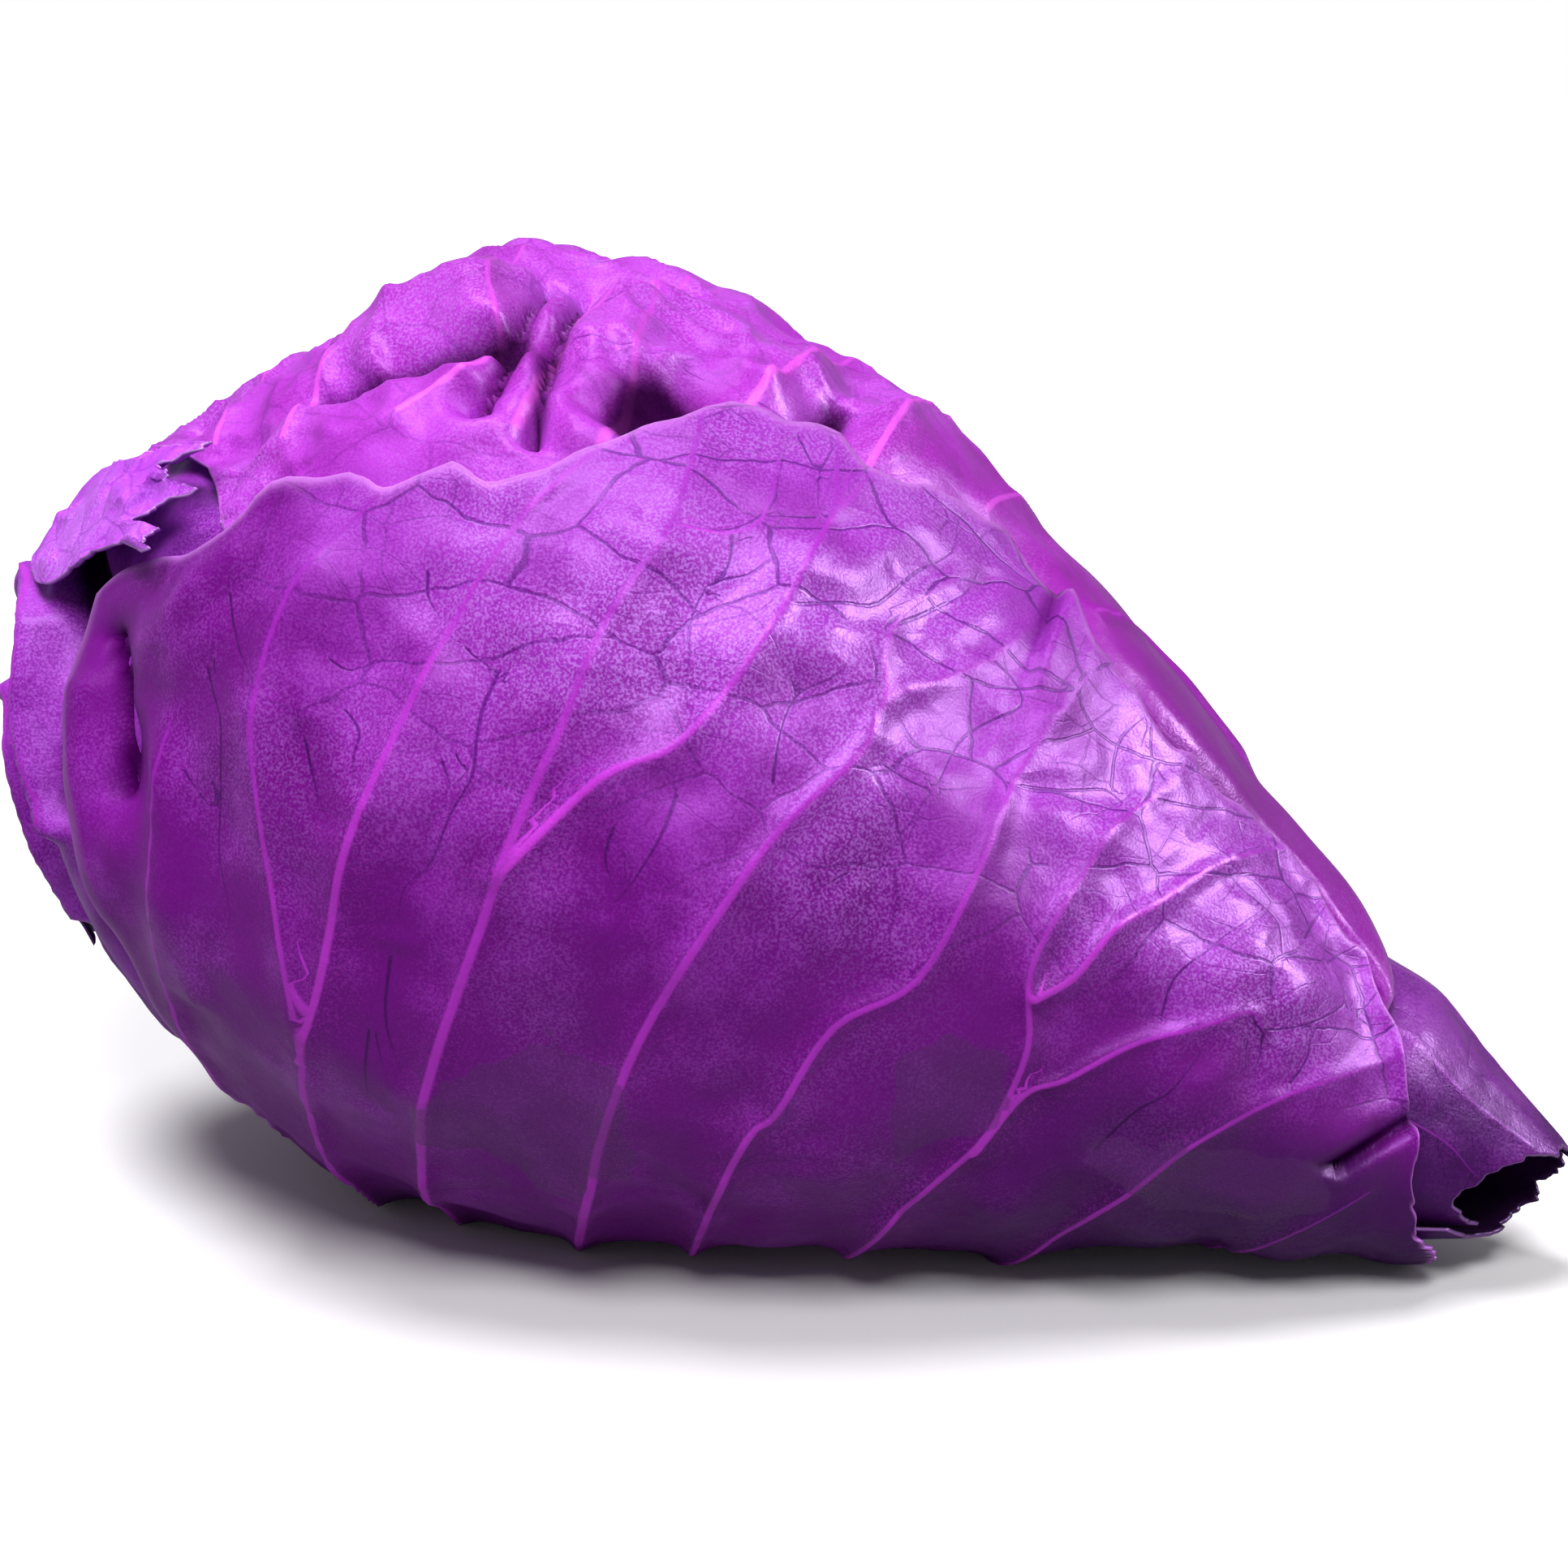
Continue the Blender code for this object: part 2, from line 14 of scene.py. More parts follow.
import bpy
import numpy as np
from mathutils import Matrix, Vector


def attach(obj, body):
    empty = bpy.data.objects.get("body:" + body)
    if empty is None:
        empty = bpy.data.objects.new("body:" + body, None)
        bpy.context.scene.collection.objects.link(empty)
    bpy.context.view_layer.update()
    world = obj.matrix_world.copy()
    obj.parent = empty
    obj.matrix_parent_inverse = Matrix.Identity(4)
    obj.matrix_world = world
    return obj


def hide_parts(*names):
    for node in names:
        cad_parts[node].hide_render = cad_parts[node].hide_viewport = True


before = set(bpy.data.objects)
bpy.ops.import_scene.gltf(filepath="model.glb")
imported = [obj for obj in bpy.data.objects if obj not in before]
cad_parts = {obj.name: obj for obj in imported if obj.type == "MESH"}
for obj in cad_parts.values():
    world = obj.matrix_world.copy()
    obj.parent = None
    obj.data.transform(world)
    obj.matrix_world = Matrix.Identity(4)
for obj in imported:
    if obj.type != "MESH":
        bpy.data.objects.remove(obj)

LOG = logging.getLogger("cabbage")
BODY = "root"
MM = 0.001

# Degrees in a radian, to turn an angle into mm at a girth.
RADIAN = 57.3
# Air in mm between a leaf and the leaf that lies on it.
LEAF_GAP = 1.3

Place = tuple[float, float]
Route = tuple[Place, ...]
Array = np.ndarray
Grid = tuple[Array, Array]
Layers = dict[str, Array]
Socket = bpy.types.NodeSocket
Sockets = dict[str, Socket]


class Slot(Enum):
    """The record's material slots."""

    PURPLE = "leaf_purple"
    MAGENTA = "leaf_magenta"
    DARK = "leaf_dark"
    TORN = "leaf_torn"
    STEM = "stem_cut"


class Tone(Enum):
    """How much of the pink rib colour a vein shows at its root."""

    PINK = 1.0
    ROSE = 0.55
    DARK = 0.0


def linear(hex_colour: str) -> tuple[float, float, float, float]:
    """Turns an sRGB hex value into a linear colour with full alpha.

    Args:
        hex_colour: six hex digits after a hash sign.

    Returns:
        Red, green and blue from 0 to 1 in linear light, and 1 for alpha.
    """
    channels = [int(hex_colour[i : i + 2], 16) / 255 for i in (1, 3, 5)]
    turned = [c / 12.92 if c <= 0.04045 else ((c + 0.055) / 1.055) ** 2.4 for c in channels]
    return (*turned, 1.0)


def ease(low: float | Array, high: float | Array, at: Array) -> Array:
    """A smooth step: 0 at low, 1 at high, 3t^2 - 2t^3 between. High may lie below low."""
    t = np.clip((at - low) / (high - low), 0.0, 1.0)
    return t * t * (3 - 2 * t)


def soft_min(a: Array, b: Array, blend: float = 0.8) -> Array:
    """The lower of two heights, with the corner between them rounded over about `blend` mm."""
    return -blend * np.logaddexp(-a / blend, -b / blend)


def hump(distance: Array, half_width: float | Array) -> Array:
    """A rounded rise, exp(-(d / w)^2): 1 in the middle and a third of it at half_width."""
    return np.exp(-((distance / half_width) ** 2))


def wave(at: Array, amount: float, length: float) -> Array:
    """The in and out of a leaf's edge: two sine waves whose lengths don't fit each other."""
    turn = 2 * np.pi * at / length
    return amount * (0.65 * np.sin(turn) + 0.35 * np.sin(1.7 * turn + 1.1))


def smooth_through(stations: tuple, at: Array) -> Array:
    """A smooth curve through rows of (place, value, ...).

    Between two rows it is the cubic that meets both with the slopes of their neighbours.

    Args:
        stations: rows of a place and one or more values.
        at: the places to read.

    Returns:
        The values there, with one more axis where a row has several.
    """
    table = np.asarray(stations, float)
    knots, values = table[:, 0], table[:, 1:]
    slopes = np.gradient(values, knots, axis=0)
    at = np.clip(at, knots[0], knots[-1])
    i = np.clip(np.searchsorted(knots, at, "right") - 1, 0, len(knots) - 2)
    span = (knots[i + 1] - knots[i])[..., None]
    t = (at - knots[i])[..., None] / span
    found = (2 * t**3 - 3 * t**2 + 1) * values[i] + (t**3 - 2 * t**2 + t) * span * slopes[i]
    found += (3 * t**2 - 2 * t**3) * values[i + 1] + (t**3 - t**2) * span * slopes[i + 1]
    return found[..., 0] if values.shape[1] == 1 else found


def ripple(points: Array, length: float, seed: int, waves: int = 14) -> Array:
    """Soft noise in space: the mean of plane waves in random directions, about -1 to 1.

    Args:
        points: places in mm, with x, y and z on the last axis.
        length: the usual length of a wave in mm.
        seed: which draw of directions to use.
        waves: how many waves are added.

    Returns:
        One number for each place.
    """
    draw = np.random.default_rng(seed)
    ways = draw.normal(size=(waves, 3))
    ways /= np.linalg.norm(ways, axis=1, keepdims=True)
    rates = 2 * np.pi / (length * draw.uniform(0.7, 1.5, waves))
    phases = draw.uniform(0, 2 * np.pi, waves)
    total = np.zeros(points.shape[:-1])
    for way, rate, phase in zip(ways, rates, phases):
        total += np.sin(points @ way * rate + phase)
    even, peak = np.sqrt(2.0 / waves), 0.7
    return total * even * peak


@dataclass(frozen=True)
class HeadForm:
    """The size and line of the whole head.

    `stations` holds along, the core line's x, y and z, and the head's radius there. `yaw` and
    `pitch` hold how far the core line turns from +X and dips below it, in degrees. It stands on
    the triangle of `rest` (x, y), outside which the underside rises `bow` a millimetre.
    """

    stations: tuple = (
        (0.00, -90.0, 52.0, 73.5, 0.0),
        (0.05, -92.5, 50.0, 73.0, 17.0),
        (0.12, -92.0, 45.0, 72.0, 32.0),
        (0.20, -79.5, 33.0, 69.5, 46.5),
        (0.30, -57.0, 20.0, 69.0, 64.5),
        (0.40, -34.0, 9.0, 68.5, 71.0),
        (0.50, -3.0, -2.0, 62.0, 66.0),
        (0.60, 23.0, -11.0, 50.3, 53.0),
        (0.70, 50.0, -18.0, 37.6, 39.5),
        (0.80, 77.0, -25.0, 26.0, 25.5),
        (0.90, 96.0, -30.0, 17.5, 15.0),
        (0.96, 107.0, -33.0, 13.5, 9.0),
        (1.00, 115.0, -35.0, 11.0, 4.0),
    )
    yaw: tuple = ((0.0, 58.0), (0.12, 50.0), (0.30, 29.0), (0.42, 17.0), (1.0, 16.0))
    pitch: tuple = ((0.0, 0.0), (0.3, -2.0), (0.45, -10.0), (0.6, -18.0), (1.0, -28.0))
    centred: tuple = (3.55, -5.55, 0.0)
    length: float = 245.0
    rest: tuple = ((-32.8, 28.3), (-26.8, -21.5), (25.3, -18.7))
    bow: float = 0.03

    def radius(self, along: Array) -> Array:
        """The head's radius, read through the stations."""
        return smooth_through(tuple((row[0], row[4]) for row in self.stations), along)

    def girth(self, along: Array) -> Array:
        """The radius used to lay the surface out flat, never under 8 mm."""
        return np.maximum(self.radius(along), 8.0)

    def centre(self, along: Array) -> Array:
        """The core line's point, read through the stations."""
        line = smooth_through(tuple(row[:4] for row in self.stations), along)
        return line + np.array(self.centred)

    def axes(self, along: Array) -> tuple[Array, Array, Array]:
        """The core line's direction, and the directions of 90 and 0 degrees around it."""
        yaw = np.radians(smooth_through(self.yaw, along))
        pitch = np.radians(smooth_through(self.pitch, along))
        ahead = np.stack(
            [np.cos(yaw) * np.cos(pitch), -np.sin(yaw) * np.cos(pitch), np.sin(pitch)], axis=-1
        )
        up = np.array([0.0, 0.0, 1.0]) - ahead * ahead[..., 2:3]
        up /= np.linalg.norm(up, axis=-1, keepdims=True)
        return ahead, up, np.cross(ahead, up)

    def place(self, along: Array, around: Array, radius: Array) -> Array:
        """Points at a distance from the core line.

        The point is centre + radius (cos(around) front + sin(around) up).

        Args:
            along: places from stem to tip.
            around: angles in degrees.
            radius: distances from the core line in mm.

        Returns:
            Points in mm, with x, y and z on the last axis.
        """
        _, up, front = self.axes(along)
        angle = np.radians(around)[..., None]
        return self.centre(along) + radius[..., None] * (np.cos(angle) * front + np.sin(angle) * up)

    def ground(self, points: Array) -> Array:
        """The lowest height of the leaf that it rests on: `bow` times the way out of `rest`."""
        corners = np.array(self.rest)
        middle = corners.mean(axis=0)
        away = np.zeros(points.shape[:-1])
        for start, end in zip(corners, np.roll(corners, -1, axis=0)):
            out = np.array([end[1] - start[1], start[0] - end[0]]) / np.hypot(*(end - start))
            out *= -np.sign((middle - start) @ out)
            away = np.maximum(away, (points[..., :2] - start) @ out)
        return self.bow * away


HEAD = HeadForm()


def from_route(along: Array, around: Array, route: Route, girth: float = 65.0) -> Array:
    """Distance in mm from a route drawn on the head.

    The surface is laid flat, x = along times the head's length and y = angle times `girth`, and
    the nearest point of each straight stretch is found there.

    Args:
        along: places from stem to tip.
        around: angles in degrees.
        route: the (along, around) points that it passes.
        girth: the radius at which angles are turned into mm.

    Returns:
        The distance at each place.
    """
    x, y = along * HEAD.length, np.radians(around) * girth
    nearest = np.full(np.shape(x), 1e9)
    for (a0, p0), (a1, p1) in zip(route[:-1], route[1:]):
        x0, y0 = a0 * HEAD.length, np.radians(p0) * girth
        dx, dy = a1 * HEAD.length - x0, np.radians(p1) * girth - y0
        t = np.clip(((x - x0) * dx + (y - y0) * dy) / (dx * dx + dy * dy), 0.0, 1.0)
        nearest = np.minimum(nearest, np.hypot(x - x0 - t * dx, y - y0 - t * dy))
    return nearest


def rounded(route: Route, steps: int = 5) -> Route:
    """The same route as a smooth curve, with `steps` stretches between its points."""
    at = np.linspace(0, len(route) - 1, (len(route) - 1) * steps + 1)
    table = tuple((k, *point) for k, point in enumerate(route))
    return tuple((float(a), float(b)) for a, b in smooth_through(table, at))


@dataclass(frozen=True)
class Fold:
    """A crease (height below zero) or ridge along a route, rounded or sharp, sizes in mm."""

    height: float
    half_width: float
    route: Route
    sharp: bool = False

    def lift(self, along: Array, around: Array) -> Array:
        """Its height at each place: exp(-(d/w)^2) where rounded, exp(-d/w) where sharp."""
        share = from_route(along, around, self.route) / self.half_width
        return self.height * np.exp(-share if self.sharp else -(share**2))


def depth_of(folds: tuple[Fold, ...], along: Array, around: Array, full: float) -> Array:
    """The creases' summed depth as a share of `full` mm, from 0 to 1 with a smooth step."""
    sunk = -sum(fold.lift(along, around) for fold in folds if fold.height < 0)
    return ease(0.4 * full, full, sunk)


# A vein loses TAPER of its width and height from root to end, and its line is drawn LINE of its
# half width. Its ridge is RIDGE_WIDTH half widths and RIDGE_SPARE mm wide, on a swelling of
# SWELL_WIDTH half widths and SWELL_HEIGHT of the ridge's height, both raised by RELIEF.
TAPER = 0.6
LINE = 0.8
RIDGE_WIDTH, RIDGE_SPARE = 1.2, 0.3
SWELL_WIDTH, SWELL_HEIGHT = 7.0, 1.2
RELIEF = 1.25


@dataclass(frozen=True)
class Vein:
    """A vein along a route, thinner towards its end: half width and height in mm."""

    route: Route
    width: float = 0.8
    height: float = 0.9
    tone: Tone = Tone.PINK

    def smooth(self) -> "Vein":
        """The same vein along a smooth curve through its route."""
        return Vein(rounded(self.route), self.width, self.height, self.tone)


@dataclass
class VeinMap:
    """What a set of veins does at each place of a leaf.

    `off` is the signed distance in mm from the nearest vein, `wide` that vein's half width there
    (0 out of its reach, so that no line is drawn), `pink` its share of the rib colour, `near` the
    plain distance up to `reach`, and `height` the raised ribs' height.
    """

    off: Array
    wide: Array
    pink: Array
    near: Array
    height: Array

    @classmethod
    def draw(
        cls, along: Array, around: Array, veins: list[Vein], reach: float, shown: float
    ) -> "VeinMap":
        """Finds the nearest vein of every place.

        The ridge and the swelling under it are exp(-(d/w)^2) each, and where two veins meet the
        higher counts.

        Args:
            along: the grid's places from stem to tip.
            around: the grid's angles.
            veins: the veins to draw.
            reach: mm to which `near` is measured.
            shown: mm from a vein beyond which `wide` is 0.

        Returns:
            The map, its arrays in the grid's shape.
        """
        shape = np.shape(along)
        flat_along, flat_around = along.ravel(), around.ravel()
        girth = HEAD.girth(flat_along)
        flat_x, flat_y = flat_along * HEAD.length, np.radians(flat_around) * girth
        off = np.full(flat_x.shape, reach)
        wide, pink, height = (np.zeros(flat_x.shape) for _ in range(3))
        for vein in veins:
            route = np.array(vein.route)
            low, high = route.min(axis=0), route.max(axis=0)
            turn = np.degrees(reach / girth)
            spare = reach / HEAD.length
            box = (flat_along > low[0] - spare) & (flat_along < high[0] + spare)
            box &= (flat_around > low[1] - turn) & (flat_around < high[1] + turn)
            index = np.flatnonzero(box)
            if not index.size:
                continue
            x, y, here = flat_x[index], flat_y[index], girth[index]
            nearest = np.full(x.shape, reach)
            side, share, inside = np.ones(x.shape), np.zeros(x.shape), np.zeros(x.shape, bool)
            stretches = len(route) - 1
            for k in range(stretches):
                x0, y0 = route[k, 0] * HEAD.length, np.radians(route[k, 1]) * here
                dx = route[k + 1, 0] * HEAD.length - x0
                dy = np.radians(route[k + 1, 1]) * here - y0
                t = ((x - x0) * dx + (y - y0) * dy) / (dx * dx + dy * dy)
                held = np.clip(t, 0.0, 1.0)
                distance = np.hypot(x - x0 - held * dx, y - y0 - held * dy)
                closer = distance < nearest
                nearest = np.where(closer, distance, nearest)
                side = np.where(closer, np.where((x - x0) * dy > (y - y0) * dx, 1.0, -1.0), side)
                share = np.where(closer, (k + held) / stretches, share)
                past = ((k == 0) & (t < 0)) | ((k == stretches - 1) & (t > 1))
                inside = np.where(closer, ~past, inside)
            taper = 1.0 - TAPER * share
            ridge = hump(nearest, RIDGE_WIDTH * vein.width + RIDGE_SPARE)
            ridge += SWELL_HEIGHT * hump(nearest, SWELL_WIDTH * vein.width)
            height[index] = np.maximum(height[index], RELIEF * vein.height * taper * ridge)
            first = nearest < np.abs(off[index])
            chosen = index[first]
            off[chosen] = (nearest * side)[first]
            width = LINE * vein.width * taper * (inside & (nearest < shown))
            wide[chosen] = width[first]
            pink[chosen] = (vein.tone.value * (1.0 - share))[first]
        return cls(*(a.reshape(shape) for a in (off, wide, pink, np.abs(off), height)))


def grow_twigs(
    veins: list[Vein],
    seed: int,
    spacing: float,
    reach: float,
    kept: tuple[float, float, float],
) -> list[Vein]:
    """Thin side veins that wander off the main ones and fork, by a seeded draw.

    Each starts on a main vein, leans 35 to 65 degrees off its line towards the tip, and turns a
    little at every step of 3 mm. Three quarters of them fork once.

    Args:
        veins: the main veins.
        seed: which draw to use.
        spacing: mm between two starts.
        reach: the longest twig in mm.
        kept: an along range and the angle above which no twig starts, where they are listed
            instead.

    Returns:
        The twigs as veins with dark tone.
    """
    draw = np.random.default_rng(seed)
    step, half_width = 3.0, 0.15
    curl, wander = 0.10, 0.2
    fork_chance, shorter, thinner = 0.75, 0.55, 0.8
    made = []

    def walk(x: float, y: float, heading: float, length: float, width: float, forks: int) -> None:
        """Draws one twig from flat place (x, y) and maybe a fork from its end."""
        route = []
        girth = float(HEAD.girth(np.array([x / HEAD.length]))[0])
        turn = draw.uniform(-curl, curl)
        for _ in range(max(2, int(length / step))):
            route.append((x / HEAD.length, float(np.degrees(y / girth))))
            x += step * np.cos(heading)
            y += step * np.sin(heading)
            heading += turn + draw.normal(0, wander)
        route.append((x / HEAD.length, float(np.degrees(y / girth))))
        made.append(Vein(tuple(route), width, 0.0, Tone.DARK))
        if forks and draw.random() < fork_chance:
            for way in (-1, 1):
                turned = heading + way * draw.uniform(0.35, 0.75)
                walk(x, y, turned, length * shorter, width * thinner, forks - 1)

    for vein in veins:
        points = np.array(vein.route)
        for (a0, p0), (a1, p1) in zip(points[:-1], points[1:]):
            by_hand = kept[0] < a0 < kept[1] and p0 > kept[2]
            girth = float(HEAD.girth(np.array([(a0 + a1) / 2]))[0])
            x0, y0 = a0 * HEAD.length, np.radians(p0) * girth
            dx, dy = a1 * HEAD.length - x0, np.radians(p1) * girth - y0
            for _ in range(0 if by_hand else int(draw.poisson(2 * np.hypot(dx, dy) / spacing))):
                share, way = draw.random(), draw.choice((-1, 1))
                heading = np.arctan2(dy, dx) + way * draw.uniform(0.6, 1.15)
                length = draw.uniform(0.45, 1.0) * reach
                walk(x0 + share * dx, y0 + share * dy, heading, length, half_width, 1)
    return made


class ShellMesh:
    """Turns grids of points into one closed mesh with named attributes."""

    def __init__(self, name: str) -> None:
        """Starts a shell of that name."""
        self.name = name

    @staticmethod
    def cells(rows: int, columns: int, wrap: bool = False) -> Array:
        """The four corners of each cell of a grid numbered row by row.

        Args:
            rows: how many rows of points.
            columns: how many points in a row.
            wrap: whether the last column joins the first.

        Returns:
            Rows of four point numbers.
        """
        number = np.arange(rows * columns).reshape(rows, columns)
        right = np.roll(number, -1, axis=1) if wrap else number[:, 1:]
        left = number if wrap else number[:, :-1]
        return np.stack([left[:-1], left[1:], right[1:], right[:-1]], axis=-1).reshape(-1, 4)

    def finish(self, points: Array, faces: Array, layers: Layers) -> bpy.types.Object:
        """Makes the object, with its faces pointing out.

        Args:
            points: points in mm.
            faces: rows of four corners; a triangle repeats its last corner.
            layers: numbers kept at each point, by attribute name.

        Returns:
            The object, at the origin.
        """
        spot = points[faces]
        area = np.cross(spot[:, 2] - spot[:, 0], spot[:, 3] - spot[:, 1])
        if (area * spot.mean(axis=1)).sum() < 0:
            faces = faces[:, ::-1]
        mesh = bpy.data.meshes.new(self.name)
        keep = np.ones(faces.shape, bool)
        keep[faces[:, 2] == faces[:, 3], 3] = False
        keep[faces[:, 0] == faces[:, 1], 0] = False
        loops = faces[keep].astype(np.int32)
        mesh.vertices.add(len(points))
        mesh.vertices.foreach_set("co", (points * MM).astype(np.float32).ravel())
        mesh.loops.add(len(loops))
        mesh.loops.foreach_set("vertex_index", loops)
        mesh.polygons.add(len(faces))
        starts = np.concatenate([[0], np.cumsum(keep.sum(axis=1))[:-1]]).astype(np.int32)
        mesh.polygons.foreach_set("loop_start", starts)
        mesh.update(calc_edges=True)
        mesh.validate()
        mesh.shade_smooth()
        for label, values in layers.items():
            layer = mesh.attributes.new(label, "FLOAT", "POINT")
            layer.data.foreach_set("value", values.astype(np.float32).ravel())
        obj = bpy.data.objects.new(self.name, mesh)
        bpy.context.scene.collection.objects.link(obj)
        return obj

    def blade(self, outer: Array, inner: Array, layers: Layers) -> bpy.types.Object:
        """A closed leaf blade from two grids of points and a rim between them.

        Args:
            outer: the outer face's points.
            inner: the inner face's points, in the same grid.
            layers: numbers for each place of the grid; `inside` is added here.

        Returns:
            The object.
        """
        rows, columns = outer.shape[:2]
        count = rows * columns
        upper = self.cells(rows, columns)
        number = np.arange(count).reshape(rows, columns)
        ring = np.concatenate([number[0], number[1:, -1], number[-1, -2::-1], number[-2:0:-1, 0]])
        after = np.roll(ring, -1)
        rim = np.stack([ring, after, after + count, ring + count], axis=1)
        points = np.concatenate([outer.reshape(-1, 3), inner.reshape(-1, 3)])
        both = {label: np.concatenate([v.ravel(), v.ravel()]) for label, v in layers.items()}
        both["inside"] = np.concatenate([np.zeros(count), np.ones(count)])
        return self.finish(points, np.concatenate([upper, upper[:, ::-1] + count, rim]), both)

    def turned(self, rings: Array, poles: Array, layers: Layers) -> bpy.types.Object:
        """A closed body from rings of points and a point that ends each side.

        Args:
            rings: points as rings by places round each.
            poles: the two end points.
            layers: numbers for each ring point and then for the two poles.

        Returns:
            The object.
        """
        count, sides = rings.shape[:2]
        number = np.arange(count * sides).reshape(count, sides)
        faces = [self.cells(count, sides, wrap=True)]
        for pole, ring in ((count * sides, number[0]), (count * sides + 1, number[-1][::-1])):
            corner = np.full(sides, pole)
            faces.append(np.stack([ring, np.roll(ring, -1), corner, corner], axis=1))
        points = np.concatenate([rings.reshape(-1, 3), poles])
        return self.finish(points, np.concatenate(faces), layers)


def dress(piece: bpy.types.Object, node: str, material: bpy.types.Material) -> None:
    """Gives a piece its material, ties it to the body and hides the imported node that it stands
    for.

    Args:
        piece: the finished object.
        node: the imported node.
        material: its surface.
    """
    piece.data.materials.append(material)
    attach(piece, BODY)
    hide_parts(node)
    LOG.info("%s: %d faces", piece.name, len(piece.data.polygons))


def add_node(
    tree: bpy.types.NodeTree,
    kind: str,
    settings: dict | None = None,
    inputs: dict | None = None,
    output: int | str = 0,
) -> Socket:
    """Adds a shader node and gives one of its outputs.

    Args:
        tree: the node tree of a material or world.
        kind: the node's type name after ShaderNode.
        settings: values by property name.
        inputs: a socket to link or a value to set for each input, by name or number.
        output: which output to give.

    Returns:
        That output.
    """
    node = tree.nodes.new(f"ShaderNode{kind}")
    for key, value in (settings or {}).items():
        setattr(node, key, value)
    for key, value in (inputs or {}).items():
        if isinstance(value, Socket):
            tree.links.new(value, node.inputs[key])
        else:
            node.inputs[key].default_value = value
    return node.outputs[output]


TIMES = {"operation": "MULTIPLY"}
PLUS = {"operation": "ADD"}
LESS = {"operation": "SUBTRACT"}
MOST = {"operation": "MAXIMUM"}
SCALED = {"operation": "SCALE"}
SMOOTH = {"interpolation_type": "SMOOTHSTEP"}
COLOURS = {"data_type": "RGBA", "clamp_factor": True}
DARKENED = COLOURS | {"blend_type": "MULTIPLY"}


